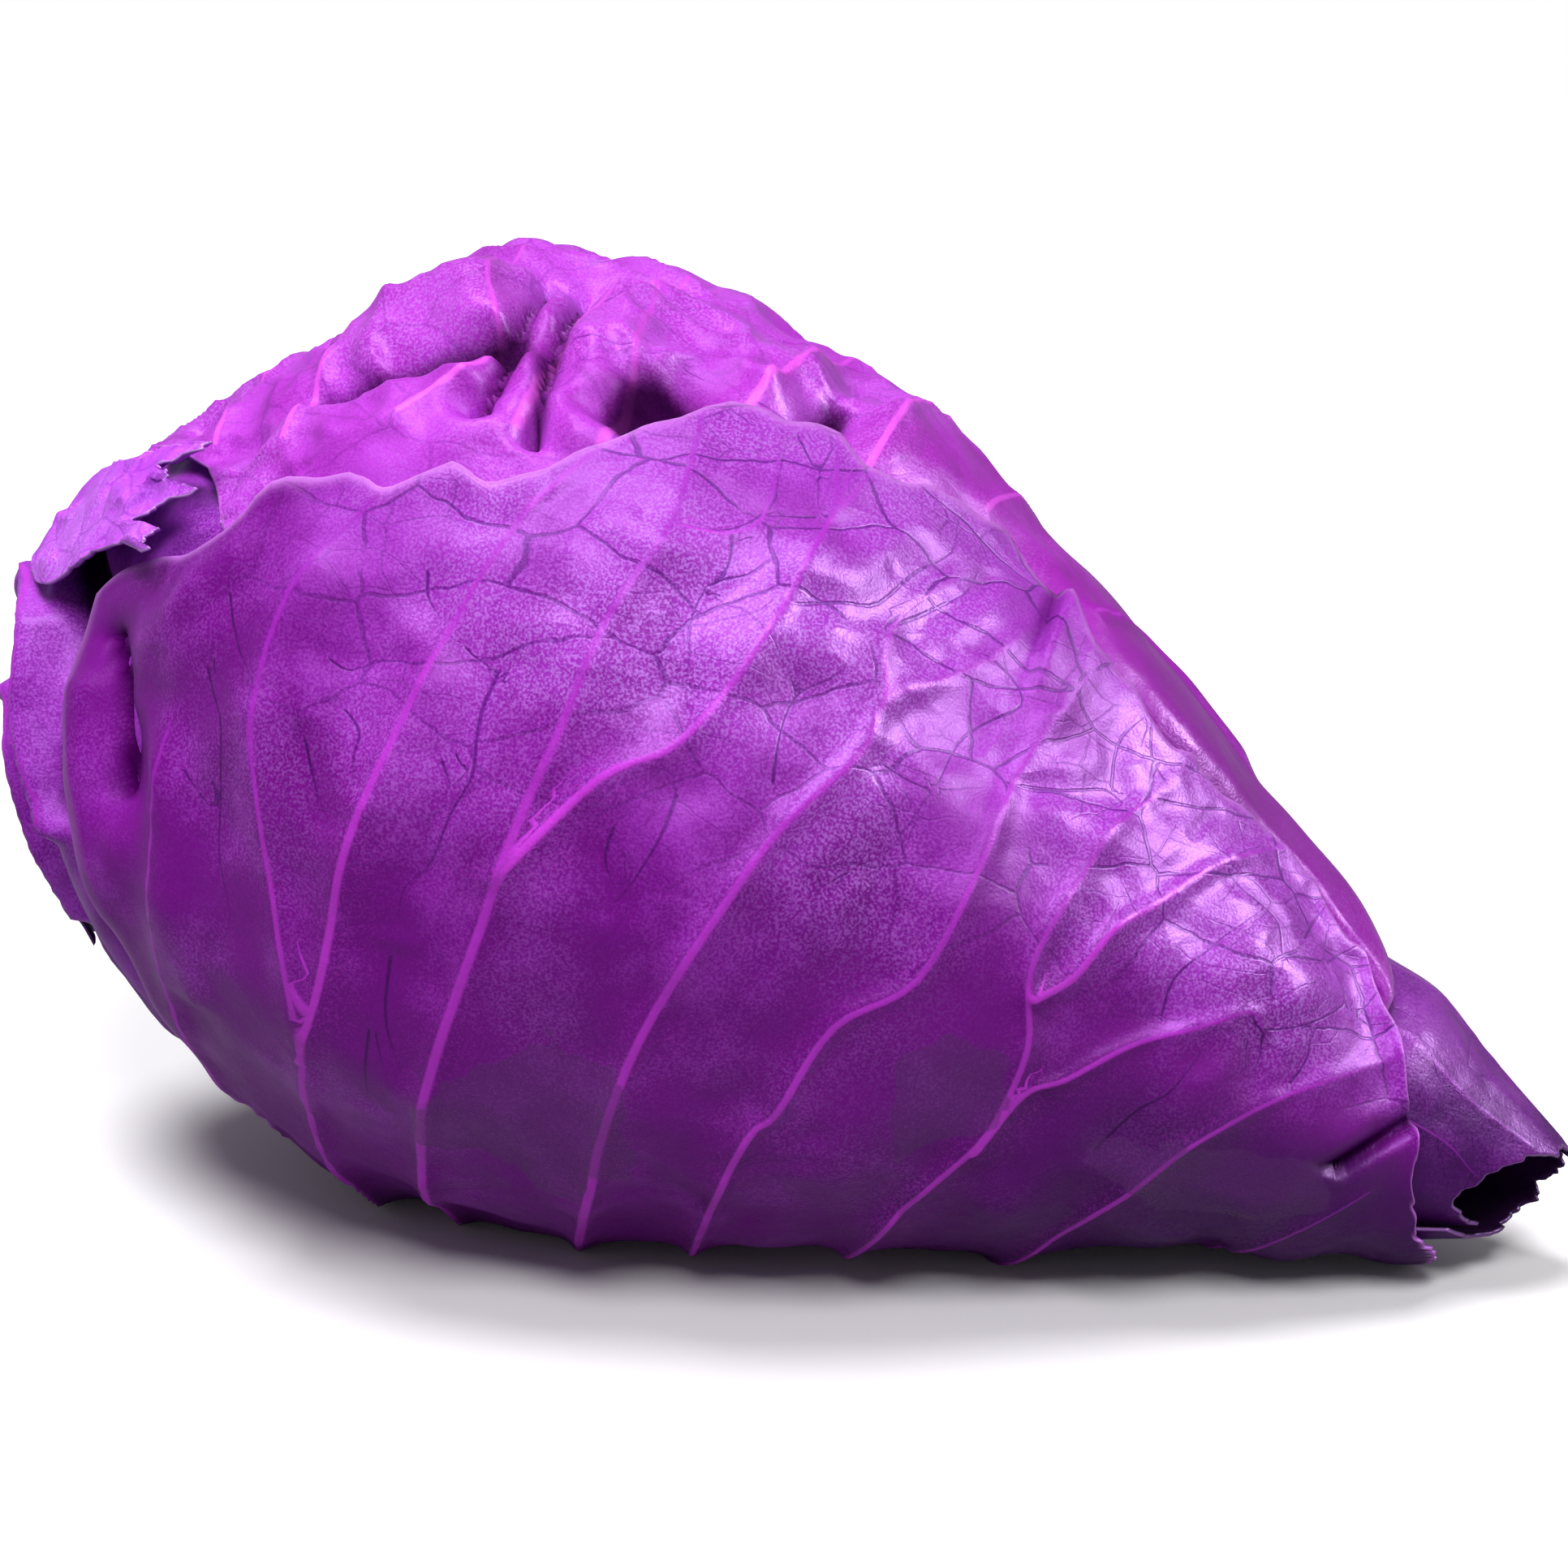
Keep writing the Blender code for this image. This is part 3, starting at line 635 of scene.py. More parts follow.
@dataclass(frozen=True)
class LeafSkin:
    """Waxy skin of a red cabbage leaf: thin, tough epidermis under a pale coat of wax.

    The wax gives a broad soft shine that breaks into fine grains, from roughness and bumps and
    also as painted sheen: pale wax-coloured specks, more of them up high. The pigment below is
    deep purple, brighter up high and darker low down as painted light and shade; the main ribs
    are pink where the pigment is thin, and the net of fine veins shows as dark lines. Sizes are
    real ones in mm, apart from `grain`: the wax's crystals are too fine to show, so its grains
    are drawn as coarse as the clumps that catch the light.

    `net_cell` is the width of the net's polygons, `patch` of the patches of thicker wax,
    `pucker` the height of the wrinkles and `blister` of the swelling inside a polygon. `film`
    colours the rubbed patches. The near-black purple is painted shade in the deep creases, and
    the dusky purple is painted shade low down near the tip.
    """

    name: str
    # Painted shade: the dusky purple of the lowest places by the tip.
    low_shade: str = "#47085a"
    deep: str = "#6e0480"
    bright: str = "#962ab0"
    # Pale wax colour, partly painted sheen.
    bloom_sheen: str = "#b87cda"
    rib: str = "#d440e2"
    rib_end: str = "#8c1ca6"
    line: str = "#9a2cb0"
    # A paler thin edge, partly painted highlight.
    margin: str = "#cf7fe2"
    inside: str = "#8d3fae"
    film: str = "#5a2c6a"
    # Painted shade: the near-black purple that deep creases are darkened to.
    hollow: str = "#1a0022"
    bloom_sheen_amount: float = 0.6
    net_cell: float = 12.0
    net_amount: float = 0.95
    line_amount: float = 0.9
    grain: float = 0.38
    patch: float = 24.0
    roughness: float = 0.38
    shine: float = 0.32
    pucker: float = 0.30
    blister: float = 0.34

    def line_mask(self, put: partial, kind: str, soft: float) -> Socket:
        """1 on a vein of that kind and 0 beyond it, from its signed distance and half width."""
        off = put("Attribute", {"attribute_name": f"{kind}_off"}, output="Fac")
        wide = put("Attribute", {"attribute_name": f"{kind}_wide"}, output="Fac")
        away = put("Math", {"operation": "ABSOLUTE"}, {0: off})
        depth = put("Math", LESS, {0: wide, 1: away})
        core = put("MapRange", SMOOTH, {0: depth, 1: -soft, 2: soft, 3: 0.0, 4: 1.0})
        there = put("MapRange", SMOOTH, {0: wide, 1: 0.02, 2: 0.14, 3: 0.0, 4: 1.0})
        return put("Math", TIMES, {0: core, 1: there})

    def net(
        self, put: partial, flat: Socket, cell: float, half: float, keep: Socket
    ) -> tuple[Socket, Socket]:
        """A net of polygons on the flat leaf, drawn by the distance from their edges.

        Args:
            put: adds a node to the material.
            flat: the place on the flat leaf in mm.
            cell: the usual width of a polygon in mm.
            half: half the width of its lines in mm.
            keep: 1 where the net shows.

        Returns:
            The lines, 1 on one and 0 past its half width, and the distance from a polygon's edge
            as a share of `cell`.
        """
        kind = {"voronoi_dimensions": "2D", "feature": "DISTANCE_TO_EDGE"}
        edge = put("TexVoronoi", kind, {"Vector": flat, "Scale": 1.0 / cell}, "Distance")
        core, fade = 0.45 * half / cell, 1.5 * half / cell
        line = put("MapRange", SMOOTH, {0: edge, 1: core, 2: fade, 3: 1.0, 4: 0.0})
        return put("Math", TIMES, {0: line, 1: keep}), edge

    def wandering(self, put: partial, spot: Socket) -> Socket:
        """The place on the flat leaf in mm, shifted so that lines drawn by it wander."""
        flat_x = put("Attribute", {"attribute_name": "flat_x"}, output="Fac")
        flat_y = put("Attribute", {"attribute_name": "flat_y"}, output="Fac")
        flat = put("CombineXYZ", inputs={0: flat_x, 1: flat_y})
        for size, amount in ((12.0, 4.0), (3.0, 0.9)):
            wander = {"Vector": spot, "Scale": 1.0 / size, "Detail": 1.0}
            bend = put("TexNoise", inputs=wander, output="Color")
            bend = put("VectorMath", LESS, {0: bend, 1: (0.5, 0.5, 0.5)})
            bend = put("VectorMath", SCALED, {0: bend, "Scale": amount})
            flat = put("VectorMath", PLUS, {0: flat, 1: bend})
        return flat

    def dark_lines(
        self, put: partial, flat: Socket, ribs: Socket, marks: Sockets
    ) -> tuple[Socket, Socket]:
        """The hand-drawn and grown twigs and two nets of polygons, none of them on a rib.

        Args:
            put: adds a node to the material.
            flat: the place on the flat leaf in mm.
            ribs: 1 on a main rib.
            marks: the leaf's attributes and the noises.

        Returns:
            The lines, 1 on one, and how far each polygon of the wider net swells.
        """
        twigs = self.line_mask(put, "twig", 0.10)
        kept = put("MapRange", SMOOTH, {0: marks["gaps"], 1: 0.32, 2: 0.42, 3: 0.0, 4: 1.0})
        kept = put("Math", TIMES, {0: kept, 1: marks["upper"]})
        net, edge = self.net(put, flat, self.net_cell, 0.20, kept)
        puffed = put("MapRange", SMOOTH, {0: edge, 1: 0.0, 2: 0.34, 3: 0.0, 4: 1.0})
        puffed = put("Math", TIMES, {0: puffed, 1: kept})
        kept_fine = put("MapRange", SMOOTH, {0: marks["few"], 1: 0.46, 2: 0.58, 3: 0.0, 4: 0.55})
        kept_fine = put("Math", TIMES, {0: kept_fine, 1: marks["upper"]})
        fine, _ = self.net(put, flat, self.net_cell * 0.42, 0.11, kept_fine)
        net = put("Math", MOST, {0: net, 1: fine})
        net = put("Math", TIMES, {0: net, 1: self.net_amount})
        lines = put("Math", MOST, {0: net, 1: twigs})
        beside = put("MapRange", inputs={0: ribs, 1: 0.0, 2: 1.0, 3: 1.0, 4: 0.0})
        return put("Math", TIMES, {0: lines, 1: beside}), puffed

    def pigment(self, put: partial, marks: Sockets) -> Socket:
        """Deep purple low down and brighter towards the free margin, as painted light and shade,
        under the pale wax.
        """
        upper, grains = marks["upper"], marks["grains"]
        # Painted light: the colour runs from deep to bright with `upper`, brighter higher up, plus
        # random tone and flecks.
        tint = put("MapRange", SMOOTH, {0: marks["middling"], 1: 0.30, 2: 0.72, 3: -0.40, 4: 0.40})
        tint = put("Math", PLUS, {0: tint, 1: upper})
        fleck = put("MapRange", inputs={0: grains, 1: 0.35, 2: 0.65, 3: -0.20, 4: 0.20})
        tint = put("Math", PLUS, {0: tint, 1: fleck})
        colour = put("Mix", COLOURS, {0: tint, 6: linear(self.deep), 7: linear(self.bright)}, 2)
        # Painted shade: where `upper` is below 0, low down by the tip, the colour darkens to the
        # dusky purple.
        dull = put("MapRange", inputs={0: upper, 1: 0.0, 2: -0.6, 3: 0.0, 4: 1.0})
        colour = put("Mix", COLOURS, {0: dull, 6: colour, 7: linear(self.low_shade)}, 2)
        # Pale wax in patches and grains, more of it up high: partly the wax's own colour, partly
        # painted sheen whose grains stand for glints.
        wax = put("MapRange", SMOOTH, {0: marks["broad"], 1: 0.36, 2: 0.66, 3: 0.05, 4: 1.0})
        speckle = put("MapRange", SMOOTH, {0: grains, 1: 0.42, 2: 0.66, 3: 0.05, 4: 1.15})
        wax = put("Math", TIMES, {0: wax, 1: speckle})
        waxed = put("MapRange", SMOOTH, {0: upper, 1: 0.0, 2: 0.9, 3: 0.22, 4: 1.0})
        wax = put("Math", TIMES, {0: wax, 1: waxed})
        wax = put("Math", TIMES, {0: wax, 1: self.bloom_sheen_amount})
        return put("Mix", COLOURS, {0: wax, 6: colour, 7: linear(self.bloom_sheen)}, 2)

    def veined(
        self, put: partial, colour: Socket, ribs: Socket, lines: Socket, marks: Sockets
    ) -> Socket:
        """Adds the dark lines, the pink ribs with dots beside them, the pale margin with its partly
        painted highlight, and the back.

        Args:
            put: adds a node to the material.
            colour: the waxed pigment.
            ribs: 1 on a main rib.
            lines: 1 on a dark line.
            marks: the leaf's attributes and the noises.

        Returns:
            The colour with all of these.
        """
        dark = put("Math", TIMES, {0: lines, 1: self.line_amount})
        colour = put("Mix", DARKENED, {0: dark, 6: colour, 7: linear(self.line)}, 2)
        dotted = put("MapRange", SMOOTH, {0: marks["dots"], 1: 0.50, 2: 0.70, 3: 0.0, 4: 0.22})
        dotted = put("Math", TIMES, {0: dotted, 1: marks["halo"]})
        colour = put("Mix", COLOURS, {0: dotted, 6: colour, 7: linear(self.rib)}, 2)
        ends = {0: marks["rib_pink"], 6: linear(self.rib_end), 7: linear(self.rib)}
        rib_colour = put("Mix", COLOURS, ends, 2)
        rib_share = put("Math", TIMES, {0: ribs, 1: 0.75})
        colour = put("Mix", COLOURS, {0: rib_share, 6: colour, 7: rib_colour}, 2)
        # The margin's thin paler edge, partly a painted highlight.
        lip = put("Math", {"operation": "POWER"}, {0: marks["rim"], 1: 3.0})
        lip = put("Math", TIMES, {0: lip, 1: 0.8})
        colour = put("Mix", COLOURS, {0: lip, 6: colour, 7: linear(self.margin)}, 2)
        # The back's colour; for the rolled tip leaf it is near-black painted shade.
        inner = put("Math", TIMES, {0: marks["inside"], 1: 0.85})
        return put("Mix", COLOURS, {0: inner, 6: colour, 7: linear(self.inside)}, 2)

    def relief(self, put: partial, lines: Socket, puffed: Socket, marks: Sockets) -> Socket:
        """The bumps, by height in mm: sunken lines, swollen polygons, wrinkles and grains."""
        bumps = (
            (lines, 0.05, -1.0),
            (puffed, self.blister, 1.0),
            (marks["wrinkles"], self.pucker, 1.0),
            (marks["grains"], 0.055, 1.0),
        )
        normal = None
        for height, size, way in bumps:
            inputs = {"Height": height, "Strength": 1.0, "Distance": size * MM}
            if normal is not None:
                inputs["Normal"] = normal
            normal = put("Bump", {"invert": way < 0}, inputs)
        return normal

    def build(self) -> bpy.types.Material:
        """Makes the material from the skin's colours and sizes.

        Returns:
            A material that reads Object coordinates in mm and the leaf's own attributes.
        """
        made = bpy.data.materials.new(self.name)
        made.use_nodes = True
        tree = made.node_tree
        shader = tree.nodes["Principled BSDF"]
        put = partial(add_node, tree)
        where = put("TexCoord", output="Object")
        spot = put("VectorMath", SCALED, {0: where, "Scale": 1000.0})
        marks = {
            label: put("Attribute", {"attribute_name": label}, output="Fac")
            for label in ("upper", "rim", "inside", "halo", "rib_pink", "film", "hollow")
        }
        for label, size, detail in (
            ("broad", self.patch, 3.0),
            ("middling", self.patch * 0.5, 4.0),
            ("grains", self.grain, 2.0),
            ("dots", self.grain * 0.9, 0.0),
            ("gaps", 16.0, 2.0),
            ("few", 21.0, 1.0),
            ("wrinkles", 6.0, 2.0),
        ):
            noise = {"Vector": spot, "Scale": 1.0 / size, "Detail": detail}
            marks[label] = put("TexNoise", inputs=noise)
        ribs = self.line_mask(put, "rib", 0.16)
        lines, puffed = self.dark_lines(put, self.wandering(put, spot), ribs, marks)
        colour = self.veined(put, self.pigment(put, marks), ribs, lines, marks)

        # Rubbed patches where the wax is gone are smoother, greyer and have a clear edge.
        ragged = put("MapRange", inputs={0: marks["middling"], 1: 0.3, 2: 0.7, 3: -0.22, 4: 0.22})
        rubbed = put("Math", PLUS, {0: marks["film"], 1: ragged})
        rubbed = put("MapRange", SMOOTH, {0: rubbed, 1: 0.50, 2: 0.54, 3: 0.0, 4: 1.0})
        veiled = put("Math", TIMES, {0: rubbed, 1: 0.5})
        colour = put("Mix", COLOURS, {0: veiled, 6: colour, 7: linear(self.film)}, 2)
        # Painted shade: deep creases are darkened towards a near-black purple.
        sunk = put("Math", TIMES, {0: marks["hollow"], 1: 0.93})
        colour = put("Mix", COLOURS, {0: sunk, 6: colour, 7: linear(self.hollow)}, 2)

        dull, waxy = self.roughness + 0.10, self.roughness - 0.06
        rough = put("MapRange", SMOOTH, {0: marks["broad"], 1: 0.3, 2: 0.7, 3: dull, 4: waxy})
        gritty = put("MapRange", inputs={0: marks["grains"], 1: 0.3, 2: 0.7, 3: -0.05, 4: 0.07})
        rough = put("Math", PLUS, {0: rough, 1: gritty})
        rough = put("Math", LESS, {0: rough, 1: put("Math", TIMES, {0: rubbed, 1: 0.16})})
        # Painted shade: the shine also fades out in deep creases.
        shine = {0: marks["hollow"], 1: 0.0, 2: 0.8, 3: self.shine, 4: 0.0}
        made_of = {
            "Base Color": colour,
            "Roughness": rough,
            "Normal": self.relief(put, lines, puffed, marks),
            "Specular IOR Level": put("MapRange", inputs=shine),
        }
        for label, socket in made_of.items():
            tree.links.new(socket, shader.inputs[label])
        shader.inputs["Specular Tint"].default_value = linear("#e0a8ff")
        shader.inputs["Sheen Weight"].default_value = 0.03
        shader.inputs["Sheen Roughness"].default_value = 0.4
        shader.inputs["Sheen Tint"].default_value = linear("#c79af0")
        return made


@dataclass(frozen=True)
class CutStalk:
    """Cut cabbage stalk: pale, fibrous and matt, with a purple skin at its rim.

    The cut shows cream pith, thin darker rings of vessels and a dry brownish tint.
    """

    name: str = "cut_stalk"
    pith: str = "#d9cdbb"
    ring: str = "#a98f9c"
    skin: str = "#7b3f92"
    dry: str = "#9b7f63"

    def build(self) -> bpy.types.Material:
        """Makes the material; `skin` on the mesh is 1 on the side and 0 on the cut."""
        made = bpy.data.materials.new(self.name)
        made.use_nodes = True
        tree = made.node_tree
        shader = tree.nodes["Principled BSDF"]
        put = partial(add_node, tree)
        spot = put("VectorMath", SCALED, {0: put("TexCoord", output="Object"), "Scale": 1000.0})
        blotch = put("TexNoise", inputs={"Vector": spot, "Scale": 0.22, "Detail": 5.0})
        fibre = put("TexNoise", inputs={"Vector": spot, "Scale": 1.6, "Detail": 3.0})
        rings = put("Attribute", {"attribute_name": "ring"}, output="Fac")
        side = put("Attribute", {"attribute_name": "skin"}, output="Fac")
        dried = put("MapRange", inputs={0: blotch, 1: 0.5, 2: 0.75, 3: 0.0, 4: 0.6})
        tone = put("Mix", COLOURS, {0: rings, 6: linear(self.pith), 7: linear(self.ring)}, 2)
        tone = put("Mix", COLOURS, {0: dried, 6: tone, 7: linear(self.dry)}, 2)
        tone = put("Mix", COLOURS, {0: side, 6: tone, 7: linear(self.skin)}, 2)
        relief = put("Bump", inputs={"Height": fibre, "Strength": 0.8, "Distance": 0.3 * MM})
        tree.links.new(tone, shader.inputs["Base Color"])
        tree.links.new(relief, shader.inputs["Normal"])
        shader.inputs["Roughness"].default_value = 0.62
        return made


@dataclass
class Leaf:
    """A leaf of the head: what it stands for, how fine its grid is, and how its blade is made.

    It stays above `floor`, or above the head's ground where it `rests` on it. `puff` is how far
    the blade swells between its ribs and `pillow` between its twigs, `sway` the height of its
    soft waves, and `patches` lists rubbed places as along, around and the half sizes in mm.
    The distance from a vein is measured up to `rib_near` or `twig_near` mm, and its line is drawn
    up to `rib_shown` or `twig_shown` mm from it. Routes in `twigs` are listed; the others
    grow from the ribs by `twig_seed`, but not in the region that `by_hand` gives.
    """

    node: str
    slot: Slot
    skin: LeafSkin
    rows: int = 120
    columns: int = 120
    thickness: float = 0.9
    rim_thickness: float = 0.5
    floor: float = 0.0
    rests: bool = False
    veins: tuple[Vein, ...] = ()
    twigs: tuple[Route, ...] = ()
    by_hand: tuple[float, float, float] = (2.0, 2.0, 0.0)
    twig_seed: int = 1
    twig_spacing: float = 46.0
    twig_reach: float = 12.0
    puff: float = 0.5
    pillow: float = 0.35
    sway: float = 0.5
    patches: tuple = ()
    rib_near: float = 14.0
    rib_shown: float = 1.9
    twig_near: float = 6.0
    twig_shown: float = 1.3
    twig_width: float = 0.20

    def shares(self) -> Grid:
        """Shares of the length and the width where the grid's lines run."""
        return np.linspace(0, 1, self.rows), np.linspace(0, 1, self.columns)

    def outline(self, u: Array, v: Array) -> Grid:
        """The place on the head of each share of the leaf's length and width."""
        raise NotImplementedError

    def surface(self, u: Array, v: Array, along: Array, around: Array) -> Array:
        """The radius of the blade's outer face without its veins, in mm."""
        raise NotImplementedError

    def upper(self, along: Array, around: Array) -> Array:
        """How bright (painted light) and waxy each place is, from 0 to 1, and below 0 where painted
        shade darkens it.
        """
        return np.full(np.shape(along), 0.6)

    def loose(self, u: Array, v: Array, along: Array, around: Array) -> Array:
        """How far each place may swell and sway: 0 where another leaf lies on it."""
        return np.ones(np.shape(along))

    def margin(self, u: Array, v: Array) -> Array:
        """How near each place is to a margin, 1 on it and 0 from 2 mm in."""
        size, border = 200.0, 2.0
        near = np.minimum(np.minimum(u, 1 - u), np.minimum(v, 1 - v)) * size
        return 1 - np.clip(near / border, 0, 1)

    def hollow(self, along: Array, around: Array) -> Array:
        """How much painted shade each place gets for lying in a deep crease, from 0 to 1."""
        return np.zeros(np.shape(along))

    def worn(self, along: Array, around: Array) -> Array:
        """The rubbed patches, 1 in the middle of one and 0.5 on its edge."""
        found = np.zeros(np.shape(along))
        girth = HEAD.girth(along)
        for place, turn, half_along, half_around in self.patches:
            x = (along - place) * HEAD.length / half_along
            y = np.radians(around - turn) * girth / half_around
            found = np.maximum(found, 1 - 0.5 * np.hypot(x, y))
        return found

    def all_twigs(self, main: list[Vein]) -> list[Vein]:
        """The listed twigs and those that grow from the main veins."""
        grown = grow_twigs(main, self.twig_seed, self.twig_spacing, self.twig_reach, self.by_hand)
        width = self.twig_width
        return [Vein(rounded(route, 3), width, 0.0, Tone.DARK) for route in self.twigs] + grown

    def build(self) -> bpy.types.Object:
        """Makes the leaf's mesh and material, and ties it to the frame.

        The outer face's radius is the surface, plus the ribs, plus the swelling between ribs
        puff (3t^2 - 2t^3) over 1 to 9 mm from a rib and pillow likewise over 3 mm from a twig,
        plus soft waves 34 and 13 mm long.

        Returns:
            The leaf's object.
        """
        u, v = np.meshgrid(*self.shares(), indexing="ij")
        along, around = self.outline(u, v)
        base = self.surface(u, v, along, around)
        main = [vein.smooth() for vein in self.veins]
        ribs = VeinMap.draw(along, around, main, self.rib_near, self.rib_shown)
        small = self.all_twigs(main)
        twigs = VeinMap.draw(along, around, small, self.twig_near, self.twig_shown)
        rim = self.margin(u, v)
        free = self.loose(u, v, along, around)
        at = HEAD.place(along, around, base)
        sway = self.sway * ripple(at, 34.0, 11) + 0.4 * self.sway * ripple(at, 13.0, 12)
        form = base + free * (sway + self.puff * (ease(1.0, 9.0, ribs.near) - 0.7))
        form += free * self.pillow * (ease(0.1, 3.2, twigs.near) - 0.8)
        blade = self.thickness + (self.rim_thickness - self.thickness) * rim
        outer = HEAD.place(along, around, form + ribs.height * (0.35 + 0.65 * free))
        inner = HEAD.place(along, around, form - blade)
        for face, spare in ((outer, 0.0), (inner, blade)):
            low = HEAD.ground(face) if self.rests else self.floor
            face[..., 2] = np.maximum(face[..., 2], low + spare)
        layers = {
            "rib_off": ribs.off,
            "rib_wide": ribs.wide,
            "rib_pink": ribs.pink,
            "halo": hump(ribs.near, 4.0) * ribs.pink,
            "twig_off": twigs.off,
            "twig_wide": twigs.wide,
            "rim": rim,
            "upper": self.upper(along, around),
            "film": self.worn(along, around),
            # Painted shade in deep creases.
            "hollow": self.hollow(along, around),
            "flat_x": along * HEAD.length,
            "flat_y": np.radians(around) * HEAD.girth(along),
        }
        piece = ShellMesh(f"{self.node}_blade").blade(outer, inner, layers)
        dress(piece, self.node, self.skin.build())
        return piece


def slimmed(along: Array, around: Array) -> Array:
    """How far the upper shoulder near the tip lies inside the plain girth, in mm."""
    return 2.6 * hump(along - 0.745, 0.075) * ease(28.0, 60.0, around) * ease(135.0, 100.0, around)


def front_margin(along: Array) -> Array:
    """The angle that the front leaf's free upper margin reaches, with its longer waves."""
    reach = smooth_through(
        ((0.05, -45), (0.12, -38), (0.18, -15), (0.25, 28), (0.29, 32), (0.325, 33), (0.35, 40),
         (0.39, 41), (0.43, 45), (0.455, 55), (0.48, 62), (0.54, 67), (0.58, 75), (0.60, 74),
         (0.63, 66), (0.68, 65), (0.75, 69), (0.80, 51), (0.84, 25), (0.885, -8)),
        along,
    )
    return reach + wave(along * HEAD.length, 1.1, 19.0) * ease(0.33, 0.36, along)


@dataclass
class FrontLeaf(Leaf):
    """The large outer leaf: midrib underneath, side ribs leaning to the tip, a wavy margin."""

    midrib: float = -108.0
    step_at: float = 0.605
    folds: tuple[Fold, ...] = (
        Fold(2.3, 3.0, ((0.338, 31), (0.300, 20), (0.300, 14), (0.322, 6), (0.330, -20))),
        Fold(-4.4, 2.2, ((0.272, 22), (0.284, 16), (0.290, 10), (0.292, 2)), True),
        Fold(1.8, 2.2, ((0.262, 14), (0.268, 0), (0.272, -14))),
        Fold(-3.4, 2.0, ((0.842, 24), (0.826, 9), (0.812, -4))),
    )

    def shares(self) -> Grid:
        """Lines lie closer on the side that shows most."""
        u = np.interp(np.linspace(0, 1, self.rows), (0, 0.10, 1), (0, 0.16, 1))
        v = np.interp(np.linspace(0, 1, self.columns), (0, 0.17, 1), (0, 0.38, 1))
        return u, v

    def outline(self, u: Array, v: Array) -> Grid:
        """From the hidden margin at the back (v 0) to the free margin in front (v 1)."""
        start = smooth_through(
            ((0.0, 0.30), (0.18, 0.24), (0.30, 0.10), (0.38, 0.052), (0.46, 0.10),
             (0.56, 0.27), (0.70, 0.298), (0.84, 0.272), (0.93, 0.252), (1.0, 0.25)),
            v,
        )
        end = smooth_through(
            ((0.0, 0.78), (0.2, 0.85), (0.38, 0.90), (0.55, 0.91), (0.70, 0.912),
             (0.85, 0.896), (1.0, 0.852)),
            v,
        )
        end = end + wave(v * 180.0, 0.0025, 8.0)
        lean = 0.16 * np.abs(v - 0.38) * u * (1 - u)
        along = start + (end - start) * u + lean
        back = smooth_through(
            ((0.05, -150), (0.3, -196), (0.5, -204), (0.7, -200), (0.93, -170)), along
        )
        back = back + wave(along * HEAD.length, 1.3, 23.0)
        distance = along * HEAD.length
        teeth = wave(distance, 0.5, 6.1) + 0.9 * (1 - 2 * np.abs(np.sin(np.pi * distance / 8.3)))
        edge = front_margin(along) + teeth * ease(0.34, 0.38, along) * (1 + ease(0.7, 0.8, along))
        return along, back + (edge - back) * v

    def surface(self, u: Array, v: Array, along: Array, around: Array) -> Array:
        """Girth of the head, the midrib, the lobe at the left, the curl, the step and the dart."""
        beside = (around - self.midrib) * HEAD.radius(along) / RADIAN
        height = 3.0 * hump(beside, 6.0) * (1 - 0.7 * u)
        height -= 2.2 * ease(0.325, 0.30, along) * ease(-12.0, 12.0, around)
        height += 2.4 * hump((along - 0.345) * HEAD.length, 3.2) * ease(32.0, 40.0, around)
        across = (along - self.step_at) * HEAD.length
        step = np.tanh(across / 0.4) * np.exp(-np.abs(across) / 9.0)
        height += 1.9 * step * ease(46.0, 66.0, around)
        for fold in self.folds:
            height += fold.lift(along, around)
        lip = 0.6 * ease(0.975, 1.0, v) * ease(0.34, 0.40, along)
        girth = HEAD.radius(along) - slimmed(along, around)
        return girth + 0.3 + height + lip + 1.6 * ease(0.84, 0.90, along)

    def hollow(self, along: Array, around: Array) -> Array:
        """Painted shade in the pit at the left and the dart at the right, and painted shadow under
        the step near it.
        """
        across = (along - self.step_at) * HEAD.length
        step = 0.75 * hump(across + 0.8, 0.9) * ease(54.0, 68.0, around)
        return np.maximum(0.9 * depth_of(self.folds, along, around, 3.6), step)

    def upper(self, along: Array, around: Array) -> Array:
        """Bright and netted near the free margin, deep purple low down and darkest by the tip, as
        painted light and shade.
        """
        low = ease(34.0, -6.0, around) * ease(0.56, 0.76, along)
        return ease(-14.0, 46.0, around) * ease(0.30, 0.42, along) - 0.6 * low

    def loose(self, u: Array, v: Array, along: Array, around: Array) -> Array:
        """Less near the left edge and the free margin, where it lies on other leaves."""
        return ease(1.0, 0.94, v) * 0.7 + 0.3


